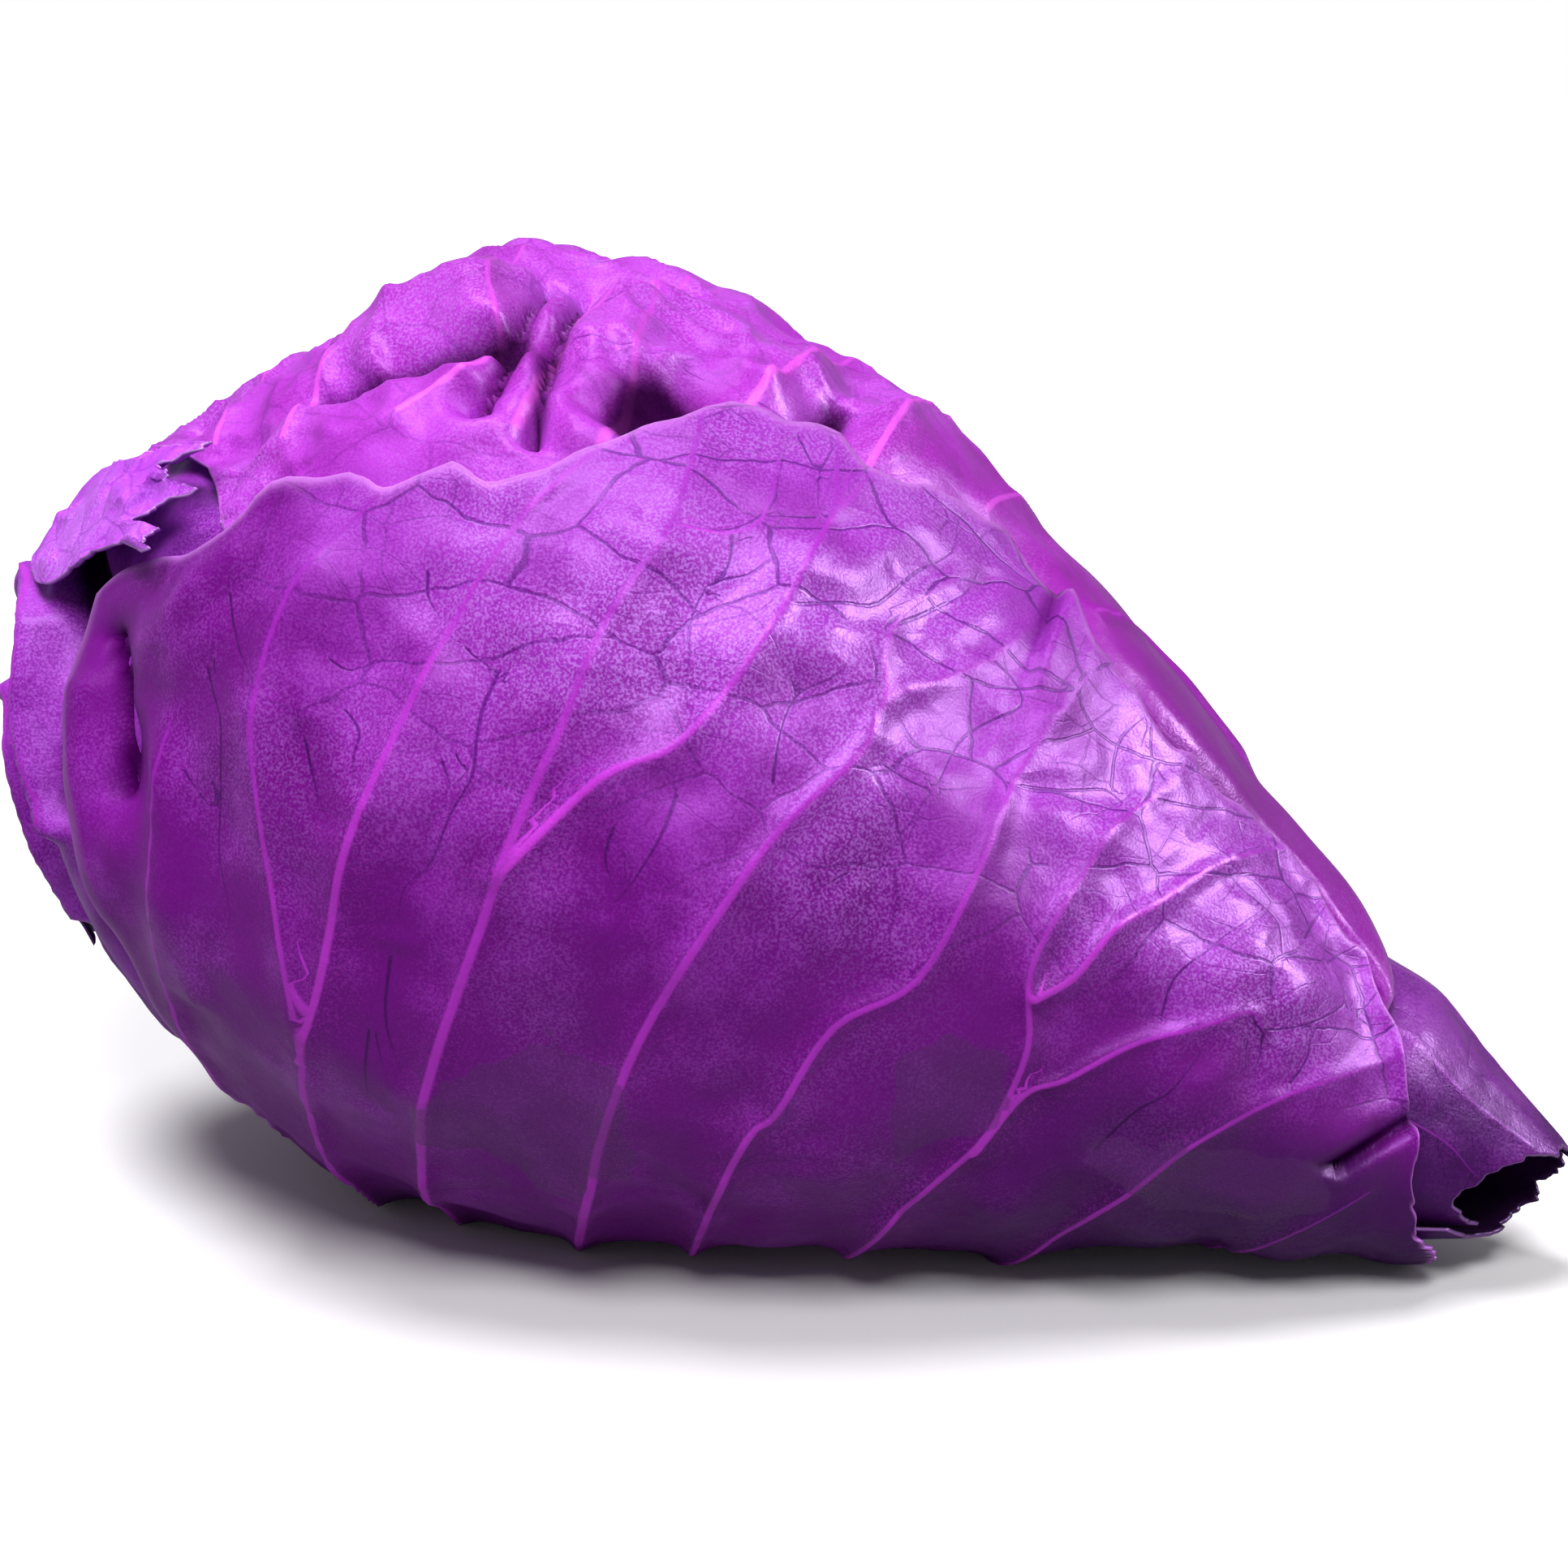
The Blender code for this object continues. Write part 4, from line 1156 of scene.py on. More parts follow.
TOP_FOLDS = (
    Fold(-9.0, 2.0, ((0.333, 57), (0.378, 61), (0.394, 63)), True),
    Fold(2.6, 5.0, ((0.335, 72), (0.365, 74), (0.388, 72))),
    Fold(-3.4, 0.9, ((0.300, 36), (0.320, 38), (0.345, 44)), True),
    Fold(2.2, 3.4, ((0.367, 72), (0.393, 66), (0.400, 61))),
    Fold(-6.0, 1.1, ((0.393, 80), (0.404, 60), (0.402, 53)), True),
    Fold(-6.4, 1.1, ((0.409, 80), (0.416, 62), (0.423, 50)), True),
    Fold(1.8, 3.4, ((0.420, 76), (0.417, 67), (0.417, 53))),
    Fold(2.4, 3.0, ((0.430, 78), (0.438, 69), (0.443, 52))),
    Fold(-9.0, 4.4, ((0.452, 57), (0.454, 63))),
    Fold(2.0, 4.5, ((0.486, 82), (0.478, 64))),
    Fold(-8.0, 1.7, ((0.494, 62), (0.501, 76)), True),
    Fold(1.4, 4.0, ((0.526, 92), (0.521, 66))),
    Fold(-2.5, 5.0, ((0.380, 96), (0.400, 120), (0.420, 138))),
    Fold(-2.0, 5.0, ((0.480, 104), (0.500, 138))),
    Fold(1.6, 6.0, ((0.350, 92), (0.360, 128))),
    Fold(1.4, 6.0, ((0.440, 100), (0.455, 140))),
)


def top_surface(along: Array, around: Array) -> Array:
    """Radius of the crinkled top leaf, which dips below the front leaf's margin.

    It is the head's girth with a swell over the crown, a saddle at the left, and the folds.

    Args:
        along: places from stem to tip.
        around: angles in degrees.

    Returns:
        Radii in mm.
    """
    covered = ease(9.0, -1.0, around - front_margin(along))
    sink = 2.9 * covered * ease(0.30, 0.36, along)
    swell = 2.5 * hump(along - 0.35, 0.055) - 2.4 * hump(along - 0.465, 0.05)
    swell = swell * ease(55.0, 80.0, around) - slimmed(along, around)
    saddle = 4.2 * hump(along - 0.29, 0.04) * ease(30.0, 50.0, around) * ease(122.0, 92.0, around)
    creases = sum(fold.lift(along, around) for fold in TOP_FOLDS)
    return HEAD.radius(along) - 0.7 + swell - saddle - sink + creases * (1 - covered)


@dataclass
class TopLeaf(Leaf):
    """The bright crinkled leaf that makes the hump on top."""

    crumple: float = 0.9

    def shares(self) -> Grid:
        """Lines lie closer over the crinkles in front of the crown."""
        u = np.interp(np.linspace(0, 1, self.rows), (0, 0.70, 1), (0, 0.60, 1))
        v = np.interp(np.linspace(0, 1, self.columns), (0, 0.66, 1), (0, 0.52, 1))
        return u, v

    def outline(self, u: Array, v: Array) -> Grid:
        """From under the front leaf's margin (v 0), over the top, to the back (v 1)."""
        start = smooth_through(
            ((0.0, 0.315), (0.06, 0.285), (0.12, 0.24), (0.22, 0.215), (0.36, 0.14), (0.5, 0.09),
             (1.0, 0.09)),
            v,
        )
        end = smooth_through(((0.0, 0.80), (0.3, 0.80), (0.6, 0.775), (1.0, 0.70)), v)
        along = start + (end - start) * u
        low = smooth_through(
            ((0.2, 44), (0.3, 40), (0.35, 30), (0.43, 33), (0.48, 47), (0.54, 52), (0.6, 58),
             (0.68, 52), (0.83, 36)),
            along,
        )
        high = smooth_through(
            ((0.09, 112), (0.3, 142), (0.5, 150), (0.6, 128), (0.68, 106), (0.76, 112),
             (0.83, 124)),
            along,
        )
        high = high + wave(along * HEAD.length, 1.6, 26.0)
        return along, low + (high - low) * v

    def surface(self, u: Array, v: Array, along: Array, around: Array) -> Array:
        """The shared top surface, with fine crumples that ease off towards the tip."""
        lift = 1.4 * ease(0.93, 1.0, v) * hump(along - 0.68, 0.05)
        at = HEAD.place(along, around, HEAD.radius(along))
        ridged = 1 - 2 * np.abs(ripple(at * np.array([1.0, 1.0, 0.6]), 17.0, 5))
        ridged += 0.4 * (1 - 2 * np.abs(ripple(at, 8.0, 15))) * ease(92.0, 76.0, around)
        zone = self.loose(u, v, along, around) * ease(0.60, 0.48, along)
        zone = zone * ease(150.0, 110.0, around)
        return top_surface(along, around) + lift + self.crumple * ridged * zone

    def hollow(self, along: Array, around: Array) -> Array:
        """Painted shade in the deep creases in front of the crown."""
        return depth_of(TOP_FOLDS, along, around, 6.2) * ease(110.0, 90.0, around)

    def upper(self, along: Array, around: Array) -> Array:
        """Brightest over the crown, duller towards the tip, as painted light."""
        return 0.9 * ease(0.66, 0.46, along) - 0.15 * ease(0.56, 0.70, along)

    def loose(self, u: Array, v: Array, along: Array, around: Array) -> Array:
        """Nothing under the front leaf's margin."""
        return ease(0.0, 12.0, around - front_margin(along))


# How thick the left leaf is, in mm.
LEFT_THICKNESS = 0.9
LEFT_FOLDS = (
    Fold(3.8, 2.6, ((0.10, 20), (0.155, 32), (0.20, 22), (0.215, 5), (0.235, -8))),
    Fold(-6.2, 3.4, ((0.165, 46), (0.19, 44), (0.235, 26), (0.248, 8), (0.250, -4))),
    Fold(2.8, 2.4, ((0.12, -2), (0.17, 8), (0.185, -10), (0.21, -30))),
    Fold(-3.6, 1.5, ((0.13, 12), (0.185, 16), (0.20, -2), (0.222, -22), (0.238, -40)), True),
    Fold(1.4, 4.0, ((0.08, -40), (0.18, -34), (0.26, -50))),
)


def left_surface(along: Array, around: Array) -> Array:
    """Radius of the left leaf: steep folds, sunk where the front and top leaves cover it.

    Args:
        along: places from stem to tip.
        around: angles in degrees.

    Returns:
        Radii in mm.
    """
    edge = smooth_through(
        ((-100, 0.12), (-80, 0.20), (-60, 0.28), (-38, 0.300), (-20, 0.295), (0, 0.270),
         (28, 0.250)),
        around,
    )
    under_front = 5.0 * ease(edge - 0.05, edge - 0.008, along)
    rib = 1.6 * hump((around + 22.0) * HEAD.radius(along) / RADIAN, 5.0) * ease(0.26, 0.1, along)
    shown = (sum(fold.lift(along, around) for fold in LEFT_FOLDS) + rib) * ease(0.30, 0.24, along)
    free = HEAD.radius(along) - 0.2 - under_front + shown
    covered = soft_min(free, top_surface(along, around) - LEFT_THICKNESS - LEAF_GAP)
    start = smooth_through(
        ((44, 0.315), (50, 0.285), (55, 0.24), (62, 0.215), (71, 0.14), (78, 0.09)), around
    )
    under_top = ease(start - 0.045, start - 0.012, along) * ease(34.0, 42.0, around)
    return free + (covered - free) * under_top


@dataclass
class LeftLeaf(Leaf):
    """The ribbed leaf round the left of the wide end, which passes under the front leaf."""

    def outline(self, u: Array, v: Array) -> Grid:
        """From underneath (v 0) up round the left end (v 1)."""
        start = smooth_through(
            ((0.0, 0.11), (0.3, 0.055), (0.5, 0.052), (0.8, 0.06), (1.0, 0.075)), v
        )
        end = smooth_through(((0.0, 0.37), (0.5, 0.40), (0.8, 0.37), (0.92, 0.33), (1.0, 0.28)), v)
        along = start + (end - start) * u
        low = smooth_through(((0.05, -84), (0.2, -96), (0.4, -96)), along)
        high = smooth_through(
            ((0.05, 58), (0.10, 72), (0.2, 66), (0.27, 56), (0.33, 40), (0.40, 22)), along
        )
        return along, low + (high - low) * v

    def surface(self, u: Array, v: Array, along: Array, around: Array) -> Array:
        """The shared left surface."""
        return left_surface(along, around)

    def hollow(self, along: Array, around: Array) -> Array:
        """Painted shade in the cavity between its ridges and the front leaf's edge."""
        return depth_of(LEFT_FOLDS, along, around, 4.4)

    def upper(self, along: Array, around: Array) -> Array:
        """Brighter on its upper side, dark underneath, as painted light and shade."""
        return 0.15 + 0.5 * ease(-50.0, 30.0, around)

    def loose(self, u: Array, v: Array, along: Array, around: Array) -> Array:
        """Nothing where the front and top leaves lie on it."""
        return ease(0.24, 0.19, along)


@dataclass
class BackLeaf(Leaf):
    """The leaf on the far side, whose midrib shows between two margins."""

    midrib: float = 164.0

    def outline(self, u: Array, v: Array) -> Grid:
        """From under the top leaf (v 0), down the back, to under the front leaf (v 1)."""
        start = smooth_through(
            ((0.0, 0.12), (0.3, 0.06), (0.5, 0.052), (0.8, 0.06), (1.0, 0.11)), v
        )
        end = smooth_through(((0.0, 0.72), (0.45, 0.76), (1.0, 0.74)), v)
        along = start + (end - start) * u
        low = smooth_through(((0.07, 86), (0.25, 96), (0.5, 104), (0.65, 92), (0.86, 100)), along)
        high = smooth_through(((0.07, 240), (0.25, 236), (0.5, 222), (0.86, 228)), along)
        return along, low + (high - low) * v

    def surface(self, u: Array, v: Array, along: Array, around: Array) -> Array:
        """Girth of the head less the leaves over it, and the midrib."""
        girth = HEAD.radius(along)
        height = 1.6 * hump((around - self.midrib) * girth / RADIAN, 5.0) * (1 - 0.6 * u)
        depth = 0.5 + 4.1 * ease(0.04, 0.16, along)
        limit = top_surface(along, around) - self.thickness - LEAF_GAP
        return soft_min(girth - depth + height, limit)

    def upper(self, along: Array, around: Array) -> Array:
        """Brighter towards the top, as painted light."""
        return 0.2 + 0.5 * ease(200.0, 120.0, around)

    def loose(self, u: Array, v: Array, along: Array, around: Array) -> Array:
        """Little under the margins of the leaves over it."""
        return ease(0.0, 0.25, v) * ease(1.0, 0.75, v)


@dataclass
class TipLeaf(Leaf):
    """The dark leaf rolled once round the tip, its mouth open to the front.

    It runs from `root` to the mouth and `turn` degrees round from `start`, `core` mm from the
    middle, and the roll widens by `widening` mm a turn.
    """

    root: float = 0.71
    start: float = -60.0
    turn: float = 384.0
    core: float = 10.0
    widening: float = 2.1

    def outline(self, u: Array, v: Array) -> Grid:
        """Down the roll (u) and once round it with an overlap (v)."""
        around = self.start + self.turn * v
        mouth = smooth_through(
            ((-60, 0.930), (-20, 0.905), (10, 0.908), (40, 0.932), (90, 0.955), (150, 0.962),
             (210, 0.960), (260, 0.950), (300, 0.930), (324, 0.908)),
            around,
        )
        distance = np.radians(around) * self.core
        mouth = mouth + wave(distance, 0.004, 9.0) + wave(distance, 0.0015, 2.7)
        return self.root + (mouth - self.root) * u, around

    def surface(self, u: Array, v: Array, along: Array, around: Array) -> Array:
        """A spiral under the other leaves that widens as it goes round."""
        depth = 3.6 + 4.6 * ease(0.84, 0.77, along)
        return HEAD.radius(along) - (depth - self.widening * (around - self.start) / 360.0)

    def upper(self, along: Array, around: Array) -> Array:
        """Paler on top, dark at the mouth, as painted light and shade."""
        return ease(10.0, 80.0, around) * ease(250.0, 150.0, around) * ease(0.95, 0.86, along)

    def loose(self, u: Array, v: Array, along: Array, around: Array) -> Array:
        """Nothing under the other leaves."""
        return ease(0.80, 0.88, along) * 0.6


@dataclass
class TornLeaf(Leaf):
    """The pale crumpled remnant of a torn outer leaf, at the upper left."""

    root: float = 0.095

    def outline(self, u: Array, v: Array) -> Grid:
        """From near the stem (u 0) to the ragged tear (u 1)."""
        tear = 0.288 + 0.010 * np.sin(15.0 * v) + 0.005 * np.sin(37.0 * v + 1.0)
        tear += 0.0022 * np.sin(90.0 * v) * np.sin(31.0 * v)
        along = self.root + (tear - self.root) * u
        low = 30.0 + 3.0 * np.sin(9.0 * u) + 10.0 * (1 - u) ** 2
        high = 48.0 + 13.0 * (1 - u)
        return along, low + (high - low) * v

    def surface(self, u: Array, v: Array, along: Array, around: Array) -> Array:
        """A crumpled sheet that lifts off the leaves under it towards the tear."""
        crumple = 0.9 * np.sin(0.55 * (around - 30.0)) + 0.7 * np.sin(70.0 * along + 0.2 * around)
        at = HEAD.place(along, around, HEAD.radius(along))
        crumple += 0.8 * (1 - 2 * np.abs(ripple(at, 9.0, 21)))
        free = HEAD.radius(along) - 0.5 + 1.2 * ease(0.0, 0.5, u) + crumple * ease(0.1, 0.4, u)
        carried = -soft_min(-left_surface(along, around), -top_surface(along, around))
        return -soft_min(-free, -carried - self.thickness - LEAF_GAP)

    def upper(self, along: Array, around: Array) -> Array:
        """All of it pale."""
        return np.ones(np.shape(along))


@dataclass
class ScrapLeaf(Leaf):
    """A small dark remnant of an older leaf at the lower left of the wide end."""

    def outline(self, u: Array, v: Array) -> Grid:
        """Down from its root (u 0) to its ragged end (u 1)."""
        along = 0.135 + 0.05 * v + 0.004 * np.sin(7.0 * u + 5.0 * v)
        return along, -22.0 - 26.0 * u + 2.0 * np.sin(8.0 * v) + 0.8 * u * np.sin(31.0 * v)

    def surface(self, u: Array, v: Array, along: Array, around: Array) -> Array:
        """It lies on the left leaf at its root and lifts off it towards its end."""
        return left_surface(along, around) + self.thickness + 0.35 + 4.0 * u**2

    def upper(self, along: Array, around: Array) -> Array:
        """All of it dark."""
        return np.zeros(np.shape(along))


PURPLE_SKIN = LeafSkin("waxy_purple_leaf")
MAGENTA_SKIN = LeafSkin(
    "waxy_magenta_leaf",
    deep="#90109e",
    bright="#b038c8",
    bloom_sheen="#c680e2",
    rib="#f060ee",
    rib_end="#b434c6",
    bloom_sheen_amount=0.4,
    net_amount=0.3,
    pucker=0.45,
    blister=0.2,
)
LEFT_SKIN = LeafSkin(
    "waxy_left_leaf",
    deep="#720a8c",
    bright="#a838c8",
    bloom_sheen_amount=0.35,
    net_amount=0.3,
)
BACK_SKIN = LeafSkin(
    "waxy_back_leaf",
    deep="#6d0e8c",
    bright="#9834ba",
    bloom_sheen_amount=0.5,
)
DARK_SKIN = LeafSkin(
    "dark_rolled_leaf",
    deep="#46085c",
    bright="#7c2a94",
    bloom_sheen="#9a60b2",
    rib="#9838ac",
    shine=0.24,
    margin="#a572bd",
    # Painted shade: the inner face is near black, for the dark inside of the rolled tip's mouth.
    inside="#1d0528",
    bloom_sheen_amount=0.3,
    net_cell=7.0,
    net_amount=0.4,
    roughness=0.36,
    blister=0.12,
)
TORN_SKIN = LeafSkin(
    "torn_pale_leaf",
    deep="#a82ecc",
    bright="#c04ee6",
    bloom_sheen="#d494f4",
    rib="#c866e0",
    margin="#e2b8f4",
    inside="#9a48b8",
    bloom_sheen_amount=0.6,
    net_cell=6.0,
    net_amount=0.4,
    roughness=0.46,
    blister=0.15,
)

FRONT = FrontLeaf(
    "leaf_front",
    Slot.PURPLE,
    PURPLE_SKIN,
    rows=206,
    columns=232,
    thickness=1.1,
    rests=True,
    veins=(
        Vein(((0.298, -62), (0.307, -35), (0.318, -6), (0.323, 13)), 0.50, 0.7),
        Vein(((0.345, -86), (0.365, -56), (0.380, -32), (0.388, -19), (0.375, 0), (0.365, 13),
              (0.370, 27), (0.390, 40)), 0.59, 1.0),
        Vein(((0.385, -24), (0.398, -13), (0.405, 1), (0.413, 13), (0.422, 27), (0.432, 40),
              (0.428, 45)), 0.50, 0.8),
        Vein(((0.432, 40), (0.448, 51)), 0.31, 0.4, Tone.ROSE),
        Vein(((0.405, -86), (0.422, -47), (0.430, -31), (0.438, -19), (0.448, -4), (0.455, 10),
              (0.460, 19), (0.465, 32), (0.473, 43), (0.468, 59)), 0.62, 1.1),
        Vein(((0.473, 43), (0.490, 45), (0.497, 49), (0.492, 61)), 0.28, 0.4, Tone.ROSE),
        Vein(((0.450, 2), (0.475, 15), (0.495, 21), (0.510, 34), (0.517, 52),
              (0.510, 63)), 0.50, 0.9),
        Vein(((0.517, 52), (0.525, 65)), 0.28, 0.4, Tone.ROSE),
        Vein(((0.462, -88), (0.490, -42), (0.495, -29), (0.505, -12), (0.525, 7), (0.535, 16),
              (0.555, 29), (0.557, 36), (0.588, 52), (0.603, 68)), 0.62, 1.1),
        Vein(((0.557, 36), (0.550, 46), (0.570, 63)), 0.34, 0.5, Tone.ROSE),
        Vein(((0.525, -88), (0.552, -29), (0.565, -19), (0.578, -4), (0.604, 6), (0.612, 24),
              (0.613, 39), (0.620, 51), (0.628, 64)), 0.59, 1.0),
        Vein(((0.600, -88), (0.632, -40), (0.654, -18), (0.658, -8), (0.657, 3), (0.646, 14),
              (0.650, 28), (0.658, 43), (0.670, 54), (0.678, 68)), 0.53, 0.9),
        Vein(((0.652, 10), (0.664, 16), (0.672, 26), (0.686, 35), (0.698, 45), (0.710, 54),
              (0.722, 64), (0.734, 74)), 0.50, 1.0),
        Vein(((0.654, -20), (0.664, -6), (0.678, -1), (0.700, 10), (0.722, 18), (0.740, 26),
              (0.748, 24)), 0.50, 0.9),
        Vein(((0.680, -84), (0.712, -40), (0.736, -11), (0.750, 0), (0.768, 11), (0.792, 24),
              (0.824, 44)), 0.50, 0.8),
        Vein(((0.770, -84), (0.805, -40), (0.840, -8)), 0.37, 0.5),
        Vein(((0.330, -128), (0.350, -160), (0.372, -192)), 0.56, 1.0),
        Vein(((0.400, -128), (0.428, -160), (0.455, -198)), 0.56, 1.0),
        Vein(((0.470, -128), (0.500, -160), (0.530, -198)), 0.56, 1.0),
        Vein(((0.540, -128), (0.570, -160), (0.605, -196)), 0.53, 0.9),
        Vein(((0.610, -128), (0.645, -160), (0.680, -192)), 0.50, 0.8),
        Vein(((0.690, -128), (0.730, -160), (0.765, -186)), 0.46, 0.7),
    ),
    twigs=(
        ((0.338, 19), (0.342, 16), (0.350, 12), (0.350, 3), (0.351, -2), (0.357, -8), (0.352, -13)),
        ((0.332, 7), (0.342, 4), (0.348, 3)),
        ((0.342, 27), (0.352, 21), (0.364, 17)),
        ((0.384, 13), (0.388, 10), (0.392, 7), (0.396, 5)),
        ((0.396, 16), (0.402, 14), (0.402, 11), (0.406, 9)),
        ((0.438, 23), (0.436, 18), (0.438, 12), (0.434, 8), (0.430, 2), (0.423, -1), (0.422, -5)),
        ((0.428, 13), (0.433, 10)),
        ((0.426, 25), (0.430, 24), (0.438, 23), (0.442, 24)),
        ((0.386, 21), (0.394, 20), (0.400, 21), (0.404, 22)),
        ((0.410, 32), (0.412, 29), (0.418, 27)),
        ((0.498, 16), (0.497, 11), (0.491, 5), (0.486, 2)),
        ((0.482, 11), (0.481, 7), (0.486, 4)),
        ((0.420, -9), (0.420, -17), (0.426, -23)),
        ((0.414, -18), (0.410, -29)),
        ((0.472, 43), (0.488, 45), (0.498, 50), (0.496, 55), (0.494, 60)),
        ((0.496, 62), (0.507, 58), (0.512, 53)),
        ((0.507, 58), (0.509, 64)),
        ((0.516, 53), (0.504, 50), (0.498, 50)),
        ((0.490, 45), (0.492, 41), (0.488, 38), (0.487, 33), (0.490, 29), (0.492, 25)),
        ((0.488, 38), (0.493, 40), (0.498, 41), (0.504, 44), (0.506, 47)),
        ((0.516, 40), (0.532, 44), (0.542, 47), (0.550, 55), (0.560, 63), (0.558, 68), (0.562, 73)),
        ((0.550, 46), (0.560, 52), (0.570, 59), (0.572, 65)),
        ((0.584, 52), (0.598, 52), (0.605, 49), (0.594, 43), (0.587, 38), (0.585, 31),
         (0.580, 24), (0.574, 17), (0.576, 9)),
        ((0.562, 29), (0.574, 29), (0.586, 30), (0.604, 35)),
        ((0.528, 20), (0.525, 26), (0.526, 31), (0.536, 35), (0.540, 38)),
        ((0.526, 31), (0.521, 33)),
        ((0.564, 15), (0.556, 12)),
        ((0.616, 38), (0.634, 42), (0.648, 47), (0.656, 47), (0.660, 47)),
        ((0.708, 50), (0.716, 49), (0.726, 49), (0.736, 48), (0.742, 42), (0.745, 36), (0.740, 26)),
        ((0.744, 41), (0.762, 49), (0.768, 56), (0.776, 64)),
        ((0.740, 26), (0.748, 24), (0.766, 31), (0.778, 42), (0.773, 49), (0.762, 49)),
        ((0.778, 42), (0.788, 46), (0.792, 54), (0.796, 57)),
        ((0.704, -14), (0.713, -3), (0.722, 3), (0.726, 9), (0.728, 15)),
        ((0.706, 16), (0.704, 24), (0.712, 32), (0.720, 40), (0.728, 48)),
        ((0.770, 15), (0.772, 23), (0.768, 31)),
        ((0.748, 24), (0.752, 18), (0.752, 12)),
        ((0.650, 48), (0.646, 55), (0.650, 61), (0.656, 66)),
        ((0.670, 56), (0.661, 58), (0.656, 64), (0.662, 70)),
        ((0.670, 52), (0.688, 58), (0.702, 64), (0.710, 61), (0.712, 57)),
        ((0.702, 64), (0.707, 66), (0.716, 71), (0.722, 78)),
        ((0.680, 30), (0.668, 34)),
        ((0.786, 43), (0.794, 43), (0.804, 47)),
        ((0.750, 50), (0.752, 60), (0.756, 71)),
    ),
    by_hand=(0.33, 0.84, -34.0),
    twig_seed=7,
    puff=0.9,
    pillow=0.5,
    sway=1.0,
    patches=(
        (0.630, -9.0, 6.0, 11.0),
        (0.470, -28.0, 9.0, 14.0),
        (0.765, -16.0, 16.0, 6.0),
    ),
)
TOP = TopLeaf(
    "leaf_top",
    Slot.MAGENTA,
    MAGENTA_SKIN,
    rows=212,
    columns=150,
    veins=(
        Vein(((0.417, 51), (0.417, 67), (0.428, 88), (0.445, 120)), 0.43, 0.5),
        Vein(((0.443, 51), (0.443, 60), (0.437, 70), (0.430, 86)), 0.50, 0.6),
        Vein(((0.378, 50), (0.398, 62), (0.372, 80), (0.380, 120)), 0.40, 0.5),
        Vein(((0.474, 62), (0.486, 82), (0.500, 120)), 0.50, 0.7),
        Vein(((0.520, 66), (0.528, 90), (0.545, 125)), 0.43, 0.6),
        Vein(((0.565, 78), (0.580, 100), (0.600, 122)), 0.34, 0.5, Tone.ROSE),
        Vein(((0.620, 78), (0.640, 98)), 0.30, 0.45, Tone.DARK),
        Vein(((0.330, 48), (0.320, 70), (0.330, 110)), 0.40, 0.5),
        Vein(((0.280, 52), (0.260, 75), (0.262, 110)), 0.37, 0.4),
    ),
    twig_seed=3,
    twig_spacing=34.0,
    twig_reach=12.0,
    puff=0.6,
)
LEFT = LeftLeaf(
    "leaf_left",
    Slot.PURPLE,
    LEFT_SKIN,
    rows=110,
    columns=150,
    thickness=LEFT_THICKNESS,
    floor=2.6,
    veins=(
        Vein(((0.060, 22), (0.100, 22), (0.155, 32), (0.200, 22), (0.215, 5), (0.235, -8),
              (0.245, -40)), 0.46, 0.5),
        Vein(((0.080, 0), (0.120, -2), (0.170, 8), (0.185, -10), (0.210, -30),
              (0.225, -60)), 0.43, 0.5),
        Vein(((0.060, -22), (0.150, -24), (0.240, -22)), 0.62, 0.5),
        Vein(((0.090, -30), (0.170, -50), (0.240, -70)), 0.43, 0.5),
    ),
    twig_seed=5,
    sway=0.3,
    puff=0.4,
)
BACK = BackLeaf(
    "leaf_back",
    Slot.PURPLE,
    BACK_SKIN,
    rows=150,
    columns=104,
    floor=2.6,
    veins=(
        Vein(((0.055, 164), (0.30, 165), (0.60, 166), (0.76, 167)), 0.93, 0.8),
        Vein(((0.20, 163), (0.29, 130), (0.36, 104)), 0.50, 0.7),
        Vein(((0.30, 163), (0.39, 134), (0.47, 108)), 0.50, 0.7),
        Vein(((0.40, 163), (0.49, 136), (0.58, 110)), 0.50, 0.7),
        Vein(((0.50, 164), (0.59, 138), (0.68, 104)), 0.43, 0.6),
        Vein(((0.60, 165), (0.68, 142), (0.75, 116)), 0.37, 0.5),
        Vein(((0.20, 165), (0.29, 196), (0.36, 224)), 0.50, 0.7),
        Vein(((0.32, 165), (0.41, 194), (0.50, 220)), 0.50, 0.7),
        Vein(((0.45, 165), (0.54, 192), (0.63, 218)), 0.43, 0.6),
        Vein(((0.58, 166), (0.66, 190), (0.73, 214)), 0.37, 0.5),
    ),
    twig_seed=9,
    sway=0.35,
    puff=0.6,
)
TIP = TipLeaf(
    "leaf_tip",
    Slot.DARK,
    DARK_SKIN,
    rows=90,
    columns=170,
    thickness=0.8,
    floor=2.6,
    veins=(
        Vein(((0.76, 60), (0.86, 50), (0.93, 52)), 0.34, 0.35),
        Vein(((0.78, 90), (0.88, 96), (0.95, 100)), 0.31, 0.3),
        Vein(((0.80, 20), (0.87, 22), (0.905, 10)), 0.28, 0.3),
    ),
    twig_seed=13,
    twig_reach=8.0,
    sway=0.25,
    puff=0.3,
)
TORN = TornLeaf("torn_leaf", Slot.TORN, TORN_SKIN, rows=120, columns=90, sway=0.2, puff=0.0)
SCRAP = ScrapLeaf("leaf_scrap", Slot.DARK, DARK_SKIN, rows=50, columns=40, sway=0.1, puff=0.0)


